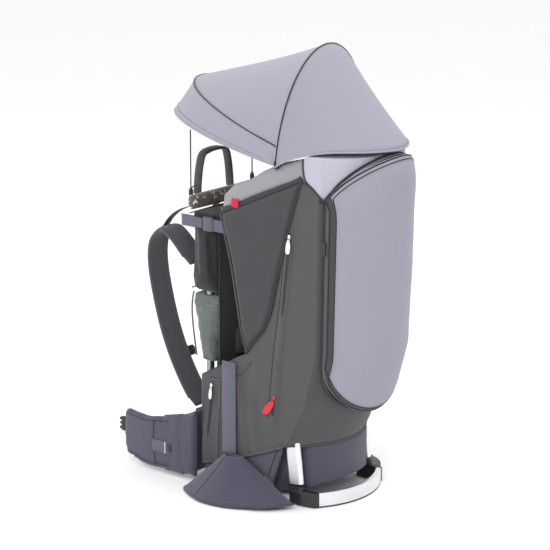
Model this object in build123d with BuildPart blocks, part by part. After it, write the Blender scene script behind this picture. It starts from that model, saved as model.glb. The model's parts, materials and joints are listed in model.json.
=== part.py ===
"""Framed child carrier backpack with a sun canopy, a fold-out stand and a zip-off daypack.

Frame: +X is the wearer's left, -Y is towards the wearer, +Z is up. The origin lies on the
floor at the middle of the stand's foot bar. Side outlines are drawn as (y, z) pairs measured
from the line between the stand's two elbows, which is foot_bar_bulge in front of the origin.
"""

import math
import os

from build123d import *

os.makedirs("parts", exist_ok=True)

# ---------------------------------------------------------------- driving dimensions (mm)
bag_half = 135.0  # half the width of the bag and of the cockpit's side wings
base_half = 130.0
base_bulge_half = 94.0  # the base swells rearward between the stand's legs
base_bulge_side = 5.0
base_bulge_middle = 35.0
base_low = 8.0
base_rise_start = -75.0  # from here rearward the base's underside rises
base_rise = 1 / 3
collar_half = 131.0
bag_wall = 4.0  # padded fabric of the bag
gap = 0.5  # clearance between neighbours that don't move
running_gap = 1.5  # clearance between neighbours that move

# Rear surface of the bag: (height, y at the side corners, y at the middle).
rear_levels = [
    (8, -80, -62),
    (124, -42, -4),
    (134, -22, 36),
    (215, 20, 62),
    (330, 50, 98),
    (650, 56, 116),
    (760, 60, 130),
]

frame_x = 88.0  # frame tubes from the middle plane
tube_d = 16.0
tube_wall = 1.6
crossbar_d = 14.0
stay_d = 12.0
stay_wall = 1.4
rail_y = -273.0
rail_top = 570.0
base_tube_z = 23.0
hoop_top = 625.0

stand_x = 112.0  # stand legs from the middle plane
stand_pivot_y = -30.0
stand_pivot_z = 150.0
stand_pin_d = 10.0
stand_pin_head_d = 18.0
pin_clearance = 0.05  # radial, in bores that turn on a pin
leg_thick = 14.0
leg_wide = 36.0
leg_wall = 2.0
leg_lean = 0.12  # rearward travel per mm down the leg
leg_low = 44.0
elbow_wall = 2.0  # around the leg
elbow_thick = leg_thick + 2 * elbow_wall
elbow_wide = leg_wide + 2 * elbow_wall
fold_room = 24.0  # how far the folding legs reach forward at the floor
foot_bar_end_x = 100.0
foot_bar_end_y = 31.0
foot_bar_bulge = 63.0
foot_bar_thick = 12.0
foot_bar_height = 30.0
sole_thick = 2.0
front_foot_height = 7.5

wing_thick = 12.0
collar_thick = 18.0
canopy_half = 138.0  # main bow's feet from the middle plane
canopy_foot = (-50.0, 712.0)
main_bow_apex = (-31.0, 940.0)
visor_half = 126.0
visor_foot = (-47.0, 756.0)
visor_apex = (-365.0, 838.0)
lip_apex = (-425.0, 769.0)
canopy_rear = (150.0, 757.0)
bow_d = 5.0
visor_bow_d = 4.0
bow_tip_d = 12.0
bow_pin_d = 5.0
visor_pin_d = 3.0
canopy_cloth = 2.0
cord_d = 3.0
cord_x = 98.0

webbing_thick = 2.5
strap_x = 80.0
strap_wide = 60.0
strap_thick = 12.0
hip_belt_thick = 14.0
hip_hinge = (147.0, -324.0)
stirrup_hinge_z = 281.0
daypack_half = 130.0
daypack_top = 741.0
daypack_bottom = 200.0
gusset_wall = 6.0
gusset_depth = 25.0
daypack_crown = 23.0  # how far the face bulges beyond the gusset at the middle

# Rear edge of the cockpit's side wings, and the seams that bound the bag's panels.
wing_rear_edge = [(-134, 307), (-110, 336), (-83, 366), (-64, 412), (-56, 455), (-17, 597), (12, 690)]
wing_front_edge = [(-203, 592), (-198, 568), (-177, 498), (-161, 416), (-150, 354)]
collar_top = [(-200, 631), (-170, 660), (-135, 676), (-96, 698), (-51, 719), (12, 736)]
base_seam = [(-256, 40), (-159, 72), (-28, 124)]
side_zip = [(-17, 576), (-62, 189)]
pocket_zip = [(-228, 222), (-240, 110)]


# ---------------------------------------------------------------- planes and helpers
def side(x=0.0):
    """Plane of a side outline at x: local (y, z)."""
    return Plane(origin=(x, -foot_bar_bulge, 0), x_dir=(0, 1, 0), z_dir=(1, 0, 0))


def level(z=0.0):
    """Horizontal plane at z: local (x, y)."""
    return Plane(origin=(0, -foot_bar_bulge, z))


def at(x, y, z):
    return Vector(x, y - foot_bar_bulge, z)


def save(name, part):
    part.label = name
    export_step(part, f"parts/{name}.step")


def group(*parts):
    """Separate solids that share one node."""
    return Compound(children=[piece for part in parts for piece in part.solids()])


def mirrored(part):
    """The right side's copy of a left part."""
    return mirror(part, about=Plane.YZ)


def both_sides(left):
    return group(left, mirrored(left))


def save_pair(name, left):
    save(f"left_{name}", left)
    save(f"right_{name}", mirrored(left))


def envelope(swell_side, swell_middle, half):
    """The bag's volume: flat sides and a bowed rear, lofted through the rear levels."""
    with BuildPart() as body:
        for z, corner, middle in rear_levels:
            with BuildSketch(level(z)):
                with BuildLine():
                    Polyline(
                        (half, corner + swell_side),
                        (half, -330),
                        (-half, -330),
                        (-half, corner + swell_side),
                    )
                    ThreePointArc(
                        (-half, corner + swell_side),
                        (0, middle + swell_middle),
                        (half, corner + swell_side),
                    )
                make_face()
        loft(ruled=True)
    return body.part


def side_slab(outline, x_low, x_high, inset=0.0):
    """A side outline extruded from x_low to x_high, taken in by inset all round."""
    with BuildPart() as slab:
        with BuildSketch(side(x_low)):
            with BuildLine():
                Polyline(*outline, close=True)
            make_face()
            if inset:
                offset(amount=-inset, kind=Kind.INTERSECTION)
        extrude(amount=x_high - x_low)
    return slab.part


def shaped_bag(outline, half):
    """A closed hollow bag: the side outline within the envelope, with an even wall."""
    outer = side_slab(outline, -half, half) & envelope(0, 0, half)
    inner = side_slab(outline, bag_wall - half, half - bag_wall, inset=bag_wall)
    return outer - (inner & envelope(-bag_wall, -bag_wall, half - bag_wall))


def tube(plane, points, radii, diameter, wall=0.0):
    """A bent round tube along straight runs and tangent bends, or a bar with no wall."""
    with BuildPart() as bent:
        with BuildLine(plane) as path:
            FilletPolyline(*points, radius=radii)
        with BuildSketch(Plane(origin=path.line @ 0, z_dir=path.line % 0)):
            Circle(diameter / 2)
            if wall:
                Circle(diameter / 2 - wall, mode=Mode.SUBTRACT)
        sweep()
    return bent.part


def band(x, points, radii, thick, wide):
    """A flat strap: its bent centreline in side view, given its thickness and width."""
    with BuildPart() as strap:
        with BuildSketch(side(x)):
            with BuildLine() as centre:
                FilletPolyline(*points, radius=radii)
            trace(centre.line, thick)
        extrude(amount=wide / 2, both=True)
    return strap.part


def block(x_range, y_range, z_range, rounding=0.0):
    """A block between two corners, in the outlines' coordinates, with its edges rounded."""
    spans = (x_range, y_range, z_range)
    middle = [(low + high) / 2 for low, high in spans]
    with BuildPart(Plane(origin=at(*middle))) as shape:
        Box(*[high - low for low, high in spans])
        if rounding:
            fillet(shape.edges(), radius=rounding)
    return shape.part


def rod(start, end, diameter, bore=0.0):
    """A straight round rod or bush between two points, in the outlines' coordinates."""
    line = at(*end) - at(*start)
    with BuildPart() as straight:
        with BuildSketch(Plane(origin=at(*start), z_dir=line)):
            Circle(diameter / 2)
            if bore:
                Circle(bore / 2, mode=Mode.SUBTRACT)
        extrude(amount=line.length)
    return straight.part


# ---------------------------------------------------------------- frame tubes
frame_points = [
    (rail_y, rail_top),
    (rail_y, base_tube_z),
    (-90, base_tube_z),
    (stand_pivot_y, stand_pivot_z),
    (22, 330),
    (30, hoop_top),
]
frame_bends = [34, 50, 120, 200]
crossbar_places = [(rail_y, rail_top - 20), (rail_y, 150), (30, hoop_top - 12)]


def frame_tubes(diameter, wall=0.0):
    return both_sides(tube(side(frame_x), frame_points, frame_bends, diameter, wall))


def crossbars(diameter):
    return [rod((-frame_x, y, z), (frame_x, y, z), diameter) for y, z in crossbar_places]


stand_pin_bore = rod(
    (-stand_x, stand_pivot_y, stand_pivot_z),
    (stand_x, stand_pivot_y, stand_pivot_z),
    stand_pin_d,
)
tube_outside = frame_tubes(tube_d)
frame_room = group(frame_tubes(tube_d + 2 * gap), *crossbars(crossbar_d + 2 * gap))
save("frame_side_tubes", group(frame_tubes(tube_d, tube_wall) - stand_pin_bore))

# Side stays just behind the rear edge of the cockpit's side wings.
stay_setback = 16
stay_points = [(y + stay_setback, z) for y, z in wing_rear_edge[0:6:2] + [wing_rear_edge[5]]]
stay_x = bag_half - bag_wall - stay_d / 2 - gap
stays = both_sides(tube(side(stay_x), stay_points, [80, 60], stay_d, stay_wall))
save("frame_braces", group(stays, *[bar - tube_outside for bar in crossbars(crossbar_d)]))

# ---------------------------------------------------------------- stand
leg_foot_y = stand_pivot_y + leg_lean * (stand_pivot_z - leg_low)
leg_plane = Plane(origin=at(stand_x, leg_foot_y, leg_low), x_dir=(1, 0, 0), z_dir=(0, -leg_lean, 1))
leg_length = leg_plane.to_local_coords(at(stand_x, stand_pivot_y, stand_pivot_z)).Z

with BuildPart() as stand_leg:
    with BuildSketch(leg_plane):
        RectangleRounded(leg_thick, leg_wide, leg_thick / 2 - gap)
        RectangleRounded(
            leg_thick - 2 * leg_wall,
            leg_wide - 2 * leg_wall,
            leg_thick / 2 - leg_wall - gap,
            mode=Mode.SUBTRACT,
        )
    extrude(amount=leg_length + leg_wide / 2)
    with BuildSketch(side(stand_x)):
        with Locations((stand_pivot_y, stand_pivot_z)):
            Circle(stand_pin_d / 2 + pin_clearance)
    extrude(amount=leg_thick, both=True, mode=Mode.SUBTRACT)
save("stand_legs", both_sides(stand_leg.part))

with BuildPart() as foot_bar:
    with BuildSketch(level(sole_thick)):
        with BuildLine() as bar_centre:
            ThreePointArc(
                (-foot_bar_end_x, foot_bar_end_y), (0, foot_bar_bulge), (foot_bar_end_x, foot_bar_end_y)
            )
        trace(bar_centre.line, foot_bar_thick)
    extrude(amount=foot_bar_height)
    fillet(foot_bar.edges().filter_by(GeomType.CIRCLE), radius=foot_bar_thick / 4)
save("foot_bar", foot_bar.part)

with BuildPart() as sole:
    with BuildSketch(level()):
        trace(bar_centre.line, foot_bar_thick - 2)
    extrude(amount=sole_thick)
save("stand_sole", sole.part)

# Elbows: moulded corners between each leg and the foot bar.
with BuildPart() as stand_elbow:
    with BuildSketch(level(sole_thick)):
        with Locations((stand_x, leg_foot_y + 2 * elbow_wall)):
            RectangleRounded(elbow_thick, elbow_wide, leg_thick / 2)
        with Locations((foot_bar_end_x + 6, foot_bar_end_y - 4)):
            Circle(foot_bar_thick / 2 + elbow_wall)
        make_hull()
    extrude(amount=foot_bar_height)
    fillet(stand_elbow.faces().sort_by(Axis.Z)[-1].edges(), radius=4)
    with BuildSketch(level(leg_low - leg_lean * leg_wide / 2 - gap)):
        with Locations((stand_x, leg_foot_y)):
            RectangleRounded(elbow_thick - 1, elbow_wide - 1, leg_thick / 2)
    extrude(amount=-foot_bar_height / 2)
save("stand_elbows", both_sides(stand_elbow.part - foot_bar.part))

# Pins through the frame tubes, with a bush between each tube and its leg.
pin_out = stand_x + leg_thick / 2 + running_gap
pin_in = frame_x - tube_d / 2
bush_out = stand_x - leg_thick / 2 - gap


def on_pivot(x):
    return (x, stand_pivot_y, stand_pivot_z)


pin_head_thick = 2.5
stand_pin = rod(on_pivot(pin_in), on_pivot(pin_out), stand_pin_d)
pin_head_outer = rod(on_pivot(pin_out), on_pivot(pin_out + pin_head_thick), stand_pin_head_d)
pin_head_inner = rod(on_pivot(pin_in - pin_head_thick), on_pivot(pin_in), stand_pin_head_d)
save("stand_pins", both_sides(stand_pin + pin_head_outer + pin_head_inner))
bush = rod(on_pivot(frame_x), on_pivot(bush_out), stand_pin_head_d, bore=stand_pin_d)
save("stand_bushes", both_sides(group(bush - tube_outside)))

# ---------------------------------------------------------------- bag
bag_reach = 250  # beyond the bag's rear, where outlines are cut by its envelope
underside_end = (bag_reach / 2, base_low + (bag_reach / 2 - base_rise_start) * base_rise)
bulge_front = base_rise_start - 30  # well inside the base, so that the bulge joins it
base_outline = [
    (base_seam[0][0], base_low),
    *base_seam,
    (bag_reach / 2, base_seam[-1][1]),
    underside_end,
    (base_rise_start, base_low),
]
bag_outline = [
    *[(y, z + gap) for y, z in base_seam],
    (bag_reach, base_seam[-1][1] + gap),
    (bag_reach, 650),
    (70, 650),
    *reversed(wing_rear_edge),
    (-262, 238),
    (-258, 60),
]
leg_room_half = elbow_thick / 2 + running_gap
leg_room_x = (stand_x - leg_room_half, stand_x + leg_room_half)
elbow_reach = stand_pivot_y - leg_wide / 2 - fold_room


def leg_room(grow=0.0):
    """Channel for a leg and its elbow, from standing to folded forward."""
    outline = [
        (elbow_reach - 20 - grow, -1),
        (stand_pivot_y - leg_wide / 2 - 8 - grow, stand_pivot_z - 22),
        (stand_pivot_y - leg_wide / 2 - 3 - grow, stand_pivot_z + grow),
        (90, stand_pivot_z + grow),
        (90, -1),
    ]
    return both_sides(side_slab(outline, leg_room_x[0] - grow, leg_room_x[1] + grow))


def base_volume(inset=0.0):
    """The base's volume: the bag's envelope with a bulge between the stand's legs."""
    half = base_bulge_half - inset
    side_y = base_bulge_side - inset
    with BuildPart() as bulge:
        with BuildSketch(level()):
            with BuildLine():
                Polyline((half, side_y), (half, bulge_front), (-half, bulge_front), (-half, side_y))
                ThreePointArc((-half, side_y), (0, base_bulge_middle - inset), (half, side_y))
            make_face()
        extrude(amount=base_seam[-1][1])
    outline_half = base_half - inset
    whole = envelope(-inset, -inset, outline_half) + bulge.part
    return side_slab(base_outline, -outline_half, outline_half, inset=inset) & whole


base_outer = base_volume()
base_inner = base_volume(bag_wall) - leg_room(bag_wall)
save("base_cover", group(base_outer - leg_room() - base_inner - frame_room))
save("main_bag", group(shaped_bag(bag_outline, bag_half) - leg_room() - frame_room))

front_foot = block((58, 116), (-248, -205), (0, front_foot_height), rounding=3)
save("front_feet", both_sides(front_foot))

# Cockpit: side wings, collar and head panel.
wing_outline = [*wing_rear_edge, *wing_front_edge]
left_wing = side_slab(wing_outline, bag_half - wing_thick, bag_half, inset=gap)
save_pair("side_wing", left_wing)

collar_outline = [(12, 692), *reversed(collar_top), (-204, 594)]
left_collar = side_slab(collar_outline, collar_half - collar_thick, collar_half, inset=gap)
save("cockpit_collar", both_sides(left_collar))

head_outline = [
    (12 + gap, 736),
    (12 + gap, 692 + gap),
    (70, 650 + gap),
    (bag_reach, 650 + gap),
    (bag_reach, 741),
    (24, 741),
]
save("head_panel", group(shaped_bag(head_outline, collar_half)))

# ---------------------------------------------------------------- seat
seat_outline = [(-226, 266), (-137, 315), (-112, 345), (-90, 372), (-90, 384), (-120, 374), (-226, 330)]
save("seat_base", side_slab(seat_outline, -70, 70))

seat_pad_thick = 16
seat_pad_line = [(y - 1.5, z) for y, z in wing_rear_edge[3:6]]
seat_pad_front = [(y - seat_pad_thick, z) for y, z in reversed(seat_pad_line)]
seat_pad_half = bag_half - wing_thick - 6
save("seat_back_pad", side_slab(seat_pad_line + seat_pad_front, -seat_pad_half, seat_pad_half))

child_strap_line = [(y - seat_pad_thick - 6, z - 8) for y, z in reversed(seat_pad_line)]
child_strap_line[-1] = (-88, 428)
save("child_straps", both_sides(band(45, child_strap_line, [60], webbing_thick, 30)))

# ---------------------------------------------------------------- back of the carrier
back_outline = [(-300, 405), (-310, 430), (-306, 579), (-246, 579), (-232, 560), (-232, 405)]
save("back_panel", group(side_slab(back_outline, -112, 112) - frame_room))

mesh_outline = [
    (-307, 403),
    (-313, 380),
    (-302, 316),
    (-288, 253),
    (-250, 253),
    (-246, 300),
    (-235, 329),
    (-234, 403),
]
save("mesh_pads", both_sides(group(side_slab(mesh_outline, 55, 102) - frame_room)))
save("lumbar_pad", block((-46, 46), (-300, -284), (60, 245), rounding=5))
save("face_pad", block((-120, 120), (-313, -287), (582, 614), rounding=10))

# ---------------------------------------------------------------- hip belt
with BuildPart() as hip_root:
    with BuildSketch(level(8)):
        with BuildLine():
            Polyline(
                (62, -285),
                (62, -299),
                (136, -299),
                (140, -315),
                (154, -315),
                (150, -264),
                (137, -264),
                (137, -285),
                close=True,
            )
        make_face()
    extrude(amount=160)
hip_root_profile = side_slab([(-316, 141), (-262, 158), (-262, 8), (-316, 8)], 60, 160)
save("hip_roots", both_sides(group(hip_root.part & hip_root_profile)))

with BuildPart() as hip_wing:
    with BuildSketch(level(8)):
        with BuildLine() as hip_line:
            ThreePointArc(hip_hinge, (151, -395), (146, -466))
        trace(hip_line.line, hip_belt_thick)
        with Locations(hip_hinge):
            Circle(hip_belt_thick / 2)
    extrude(amount=140)
hip_wing_profile = side_slab(
    [(-310, 137), (-402, 124), (-458, 128), (-468, 112), (-468, 47), (-460, 21), (-404, 8), (-310, 8)], 120, 170
)
save_pair("hip_wing", group(hip_wing.part & hip_wing_profile))
save_pair("hip_buckle", block((141, 149), (-486, -468.5), (68, 102), rounding=2))

# ---------------------------------------------------------------- shoulder harness
save("harness_yoke", block((-45, 45), (-334, -320), (440, 570), rounding=4))
shoulder_line = [
    (-317, 459),
    (-359, 504),
    (-398, 528),
    (-428, 489),
    (-429, 440),
    (-415, 369),
    (-393, 296),
    (-362, 230),
    (-323, 171),
    (-304, 150),
]
shoulder_bends = [100, 24, 50, 100, 200, 200, 200, 100]
left_shoulder = band(strap_x, shoulder_line, shoulder_bends, strap_thick, strap_wide)
save_pair("shoulder_strap", left_shoulder)
with BuildPart() as ladder_lock:
    add(block((64, 96), (-311, -301), (114, 141), rounding=2))
    with BuildSketch(side(strap_x)):
        with Locations((-306, 122), (-306, 133)):
            Rectangle(4, 6)
    extrude(amount=13, both=True, mode=Mode.SUBTRACT)
save("ladder_locks", both_sides(ladder_lock.part))
lower_webbing = block((67, 93), (-305, -305 + webbing_thick), (62, 113.5))
load_lifter = band(70, [(-425, 507), (-386, 560), (-320, 583)], [40], 2, 22)
save("strap_webbings", group(both_sides(lower_webbing), both_sides(load_lifter)))

# Sternum strap halves: a clip on the shoulder strap, webbing and half a buckle.
sternum_run = Vector(0, 31, -66).normalized()
sternum_out = Vector(0, -66, -31).normalized()
sternum_z = 247
sternum_spot = at(strap_x, -370, sternum_z) + sternum_out * (strap_thick / 2 + gap + 3)
with BuildPart() as sternum_half:
    with BuildSketch(Plane(origin=sternum_spot, x_dir=(1, 0, 0), z_dir=sternum_out)):
        RectangleRounded(24, 20, 3)
    extrude(amount=3, both=True)
    with BuildSketch(Plane(origin=sternum_spot, x_dir=(1, 0, 0), z_dir=sternum_out)):
        with Locations((-28, 0)):
            Rectangle(40, 16)
    extrude(amount=1, both=True)
    with BuildSketch(Plane(origin=sternum_spot, x_dir=(1, 0, 0), z_dir=sternum_out)):
        with Locations((-48, 0)):
            RectangleRounded(24, 22, 4)
    extrude(amount=4, both=True)
save_pair("sternum_half", sternum_half.part)

# Grab handle: a webbing loop in an upright plane in front of the face pad.
handle_y = -339
handle_foot_z = 596
with BuildPart() as handle:
    with BuildLine(Plane(origin=at(0, handle_y, 0), x_dir=(1, 0, 0), z_dir=(0, -1, 0))) as handle_line:
        FilletPolyline((-52, handle_foot_z), (-40, 690), (40, 690), (52, handle_foot_z), radius=[30, 30])
    with BuildSketch(Plane(origin=handle_line.line @ 0, x_dir=(0, 1, 0), z_dir=handle_line.line % 0)):
        RectangleRounded(22, 4, 1.5)
    sweep()
save("grab_handle", handle.part)

# ---------------------------------------------------------------- side-entry buckles
entry_x = 118
entry_z = (546, 571)
buckle_z = (543, 574)
entry_socket = group(
    block((entry_x - 1.25, entry_x + 1.25), (-236, -186), entry_z),
    block((entry_x - 5, entry_x + 4), (-264, -236), buckle_z, rounding=2)
    - block((entry_x - 2.5, entry_x + 2.5), (-270, -242), (549, 568)),
)
entry_plug = group(
    block((entry_x - 1.25, entry_x + 1.25), (-325, -290), entry_z),
    block((entry_x - 4, entry_x + 4), (-290, -265), (547, 570), rounding=2)
    + block((entry_x - 1.5, entry_x + 1.5), (-266, -246), (551, 566)),
)
save("entry_sockets", both_sides(entry_socket))
save_pair("entry_plug", entry_plug)

# ---------------------------------------------------------------- stirrups
cup_outline = [(142, -256), (202, -256), (236, -188), (236, -133), (216, -82), (190, -24), (142, 0)]
cup_apex = (142.0, -165.0)
cup_top_z = 84
cup_low_z = 3
cup_narrowing = 0.17
cup_wall = 2.5


def cup_section(z, narrowing, wall=0.0):
    """The cup's outline at a height, drawn in towards its apex and in by its wall."""
    with BuildSketch(level(z)) as section:
        with BuildLine():
            points = [
                (cup_apex[0] + narrowing * (x - cup_apex[0]), cup_apex[1] + narrowing * (y - cup_apex[1]))
                for x, y in cup_outline
            ]
            Polyline(*points, close=True)
        make_face()
        if wall:
            offset(amount=-wall, kind=Kind.INTERSECTION)
    return section.sketch


cup_outside = [cup_section(cup_low_z, 1.0), cup_section(cup_top_z, cup_narrowing)]
cup_inside = [
    cup_section(cup_low_z - 1, 1.0, cup_wall),
    cup_section(cup_top_z - 2 * cup_wall, cup_narrowing, cup_wall / 2),
]
with BuildPart() as stirrup_cup:
    loft(cup_outside, ruled=True)
    loft(cup_inside, ruled=True, mode=Mode.SUBTRACT)
stirrup_strap = block((138.5, 138.5 + webbing_thick), (-196, -158), (60, stirrup_hinge_z))
cup_room = block((137, 200), (-200, -150), (50, cup_top_z + 1))
save_pair("stirrup", group(stirrup_strap - cup_room, stirrup_cup.part))


# ---------------------------------------------------------------- zips
zip_thick = 0.8


def zip_track(line, width=6.0):
    start, end = [Vector(bag_half + gap, y, z) for y, z in line]
    run = (end - start).normalized()
    middle = (start + end) * 0.5
    with BuildPart() as track:
        with BuildSketch(Plane(origin=at(middle.X, middle.Y, middle.Z), x_dir=run, z_dir=(1, 0, 0))):
            RectangleRounded((end - start).length + width, width, width / 2 - 0.1)
        extrude(amount=zip_thick)
    return track.part


def zip_slider(line, along, length, width=8.0, height=3.0):
    """A slider and its pull, lying on a track at a distance along it."""
    start, end = [Vector(bag_half + zip_thick + 2 * gap, y, z) for y, z in line]
    run = (end - start).normalized()
    spot = start + run * along
    with BuildPart() as slider:
        with BuildSketch(Plane(origin=at(spot.X, spot.Y, spot.Z), x_dir=run, z_dir=(1, 0, 0))):
            with Locations((length / 2, 0)):
                RectangleRounded(length, width, width / 2 - 0.5)
        extrude(amount=height)
    return slider.part


save("zip_tracks", group(both_sides(zip_track(side_zip)), both_sides(zip_track(pocket_zip))))
side_zip_length = Vector(side_zip[1][0] - side_zip[0][0], side_zip[1][1] - side_zip[0][1]).length
save_pair("side_slider", zip_slider(side_zip, 0, 34))
save_pair("red_slider", zip_slider(side_zip, side_zip_length - 36, 36, width=12))
save_pair("pocket_slider", zip_slider(pocket_zip, 0, 30))

# ---------------------------------------------------------------- daypack
face_low_z = 330
face_high_z = 655


def daypack_outline(inset=0.0):
    """The face seen from behind, extruded through the daypack's whole depth."""
    half = daypack_half - inset
    with BuildPart() as prism:
        with BuildSketch(Plane(origin=at(0, 0, 0), x_dir=(1, 0, 0), z_dir=(0, -1, 0))):
            with BuildLine():
                Line((-half, face_low_z), (-half, face_high_z))
                ThreePointArc((-half, face_high_z), (0, daypack_top - inset), (half, face_high_z))
                Line((half, face_high_z), (half, face_low_z))
                ThreePointArc((half, face_low_z), (0, daypack_bottom + inset), (-half, face_low_z))
            make_face()
        extrude(amount=-300)
    return prism.part


panel_gap = 1.0
back_panel_thick = 3.0
against_bag = envelope(panel_gap, panel_gap, bag_half)
behind_back = envelope(panel_gap + back_panel_thick, panel_gap + back_panel_thick, bag_half)
before_face = envelope(gusset_depth, gusset_depth, bag_half)
face_skin = 3.0
bulged = envelope(gusset_depth + face_skin, gusset_depth + daypack_crown, bag_half)
whole_outline = daypack_outline()
save("daypack_back", group((behind_back - against_bag) & whole_outline))
gusset = (before_face - behind_back) & (whole_outline - daypack_outline(gusset_wall))
save("daypack_gusset", group(gusset))
save("daypack_face", group((bulged - before_face) & whole_outline))

with BuildPart() as daypack_slider:
    with BuildSketch(side(daypack_half + gap)):
        with Locations((68, 560)):
            RectangleRounded(8, 30, 3.5)
    extrude(amount=3)
save("daypack_slider", daypack_slider.part)

# ---------------------------------------------------------------- canopy
def largest_bends(points):
    """The bend radius at each inner point that takes up most of the shorter run beside it."""
    radii = []
    for before, corner, after in zip(points, points[1:], points[2:]):
        arriving = Vector(*corner) - Vector(*before)
        leaving = Vector(*after) - Vector(*corner)
        half_turn = math.radians(arriving.get_angle(leaving)) / 2
        radii.append(0.45 * min(arriving.length, leaving.length) / math.tan(half_turn))
    return radii


def half_bow(half, foot, apex, diameter, tip_d, bore):
    """A half-elliptical bow standing on its two feet, with a bored ball at each foot."""
    rise = Vector(0, apex[0] - foot[0], apex[1] - foot[1])
    arch_plane = Plane(origin=at(0, *foot), x_dir=(1, 0, 0), z_dir=Vector(1, 0, 0).cross(rise))
    turns = [math.radians(degrees) for degrees in range(0, 181, 10)]
    points = [(half * math.cos(turn), rise.length * math.sin(turn)) for turn in turns]
    arch = tube(arch_plane, points, largest_bends(points), diameter)
    with BuildPart() as bow:
        add(arch)
        for x in (half, -half):
            with Locations(at(x, *foot)):
                Sphere(tip_d / 2, mode=Mode.SUBTRACT)
    with BuildPart(Plane(origin=at(half, *foot), z_dir=(1, 0, 0))) as tip:
        Sphere(tip_d / 2)
        Hole(bore / 2)
    return group(bow.part, both_sides(tip.part))


main_bore = bow_pin_d + 2 * pin_clearance
main_bow = half_bow(canopy_half, canopy_foot, main_bow_apex, bow_d, bow_tip_d, main_bore)
hub_pin = rod((collar_half + gap, *canopy_foot), (canopy_half + bow_tip_d / 2, *canopy_foot), bow_pin_d)
washer_thick = 0.4
washer_d = 16
hub_washer = rod((collar_half + gap, *canopy_foot), (collar_half + gap + washer_thick, *canopy_foot), washer_d)
save("canopy_hubs", both_sides(hub_washer + hub_pin))


def cloth_panel(a, b, cut, lift):
    """Cloth over two bows: a half-elliptical vault ruled from one bow's apex to the other's."""
    ruling = Vector(0, b[0] - a[0], b[1] - a[1]).normalized()
    outward = ruling.cross(Vector(1, 0, 0))
    reach = Vector(0, a[0] - canopy_foot[0], a[1] - canopy_foot[1])
    if outward.dot(reach) < 0:
        outward = -outward
    rise = outward.dot(reach) + lift
    half = canopy_half + lift
    plane = Plane(origin=at(0, *canopy_foot), x_dir=(1, 0, 0), z_dir=Vector(1, 0, 0).cross(outward))
    with BuildPart() as vault:
        with BuildSketch(plane):
            Ellipse(half + canopy_cloth, rise + canopy_cloth)
            Ellipse(half, rise, mode=Mode.SUBTRACT)
            with Locations((0, -rise)):
                Rectangle(4 * half, 2 * rise, mode=Mode.SUBTRACT)
        extrude(amount=600, both=True)
    cutter = side_slab(cut, -200, 200)
    return vault.part & cutter


def beyond(foot, point, times=1.3):
    return (foot[0] + times * (point[0] - foot[0]), foot[1] + times * (point[1] - foot[1]))


lift = bow_d / 2 + gap
main_out = beyond(canopy_foot, main_bow_apex)
visor_out = beyond(canopy_foot, visor_apex)
lip_out = beyond(canopy_foot, lip_apex)
hub_room = rod((-200, *canopy_foot), (200, *canopy_foot), 2 * bow_tip_d)
rear_cut = [
    (canopy_foot[0] + 3, canopy_foot[1] + 8),
    (22, 745),
    (canopy_rear[0] + 4, 760),
    (250, 900),
    (main_out[0] + 1, main_out[1]),
]
top_cut = [canopy_foot, main_out, (-300, 1100), (visor_out[0], visor_out[1] + 1)]
visor_cut = [(canopy_foot[0] - 3, canopy_foot[1] + 1), visor_out, lip_out]
rear_cloth = cloth_panel(main_bow_apex, canopy_rear, rear_cut, lift) - hub_room
top_cloth = cloth_panel(main_bow_apex, visor_apex, top_cut, lift) - hub_room
visor_cloth = cloth_panel(visor_apex, lip_apex, visor_cut, lift) - hub_room

save("canopy_rear_cloth", group(rear_cloth))
save("canopy_top_cloth", group(top_cloth))
save("visor_cloth", group(visor_cloth))

visor_tip_d = 2 * visor_bow_d
visor_bore = visor_pin_d + 2 * pin_clearance
save("visor_bow", half_bow(visor_half, visor_foot, visor_apex, visor_bow_d, visor_tip_d, visor_bore))
visor_pin = rod((visor_half - visor_bow_d, *visor_foot), (canopy_half - bow_d / 2, *visor_foot), visor_pin_d)
save("visor_pins", both_sides(visor_pin - main_bow.solids()[0]))
save("main_bow", main_bow)

# Taut cords from the visor's lip down to the top corners of the back panel.
cord_top = (-316, 746)
cord_low = (-316, 596)


def canopy_cord(x):
    return rod((x, *cord_low), (x, *cord_top), cord_d)


save("left_canopy_cord", canopy_cord(cord_x))
save("right_canopy_cord", canopy_cord(-cord_x))
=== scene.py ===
"""Child carrier backpack: cloth, padding, webbing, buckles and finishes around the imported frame.

Shapes are drawn in millimetres as (x, y, z) points whose y is measured from the line between the
stand's elbows, and at() turns them into the row frame in metres.
"""

import json
import math
import random

import bmesh
import bpy
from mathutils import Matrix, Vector, bvhtree, noise


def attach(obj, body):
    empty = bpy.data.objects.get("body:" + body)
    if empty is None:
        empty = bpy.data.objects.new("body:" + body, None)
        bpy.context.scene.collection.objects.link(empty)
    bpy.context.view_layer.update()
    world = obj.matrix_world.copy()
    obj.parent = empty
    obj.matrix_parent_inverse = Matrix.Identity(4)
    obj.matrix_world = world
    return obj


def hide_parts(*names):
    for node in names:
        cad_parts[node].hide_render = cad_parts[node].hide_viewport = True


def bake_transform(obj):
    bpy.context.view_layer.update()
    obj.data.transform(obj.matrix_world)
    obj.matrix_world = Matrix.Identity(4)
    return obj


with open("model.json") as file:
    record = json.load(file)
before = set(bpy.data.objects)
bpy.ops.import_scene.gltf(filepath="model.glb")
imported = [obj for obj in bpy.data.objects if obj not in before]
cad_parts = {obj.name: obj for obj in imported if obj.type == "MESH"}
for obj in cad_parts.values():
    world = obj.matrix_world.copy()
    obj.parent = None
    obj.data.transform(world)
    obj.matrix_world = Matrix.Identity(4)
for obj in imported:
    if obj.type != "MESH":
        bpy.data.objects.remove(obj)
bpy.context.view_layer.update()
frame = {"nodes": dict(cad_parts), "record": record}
random.seed(7)

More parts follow.
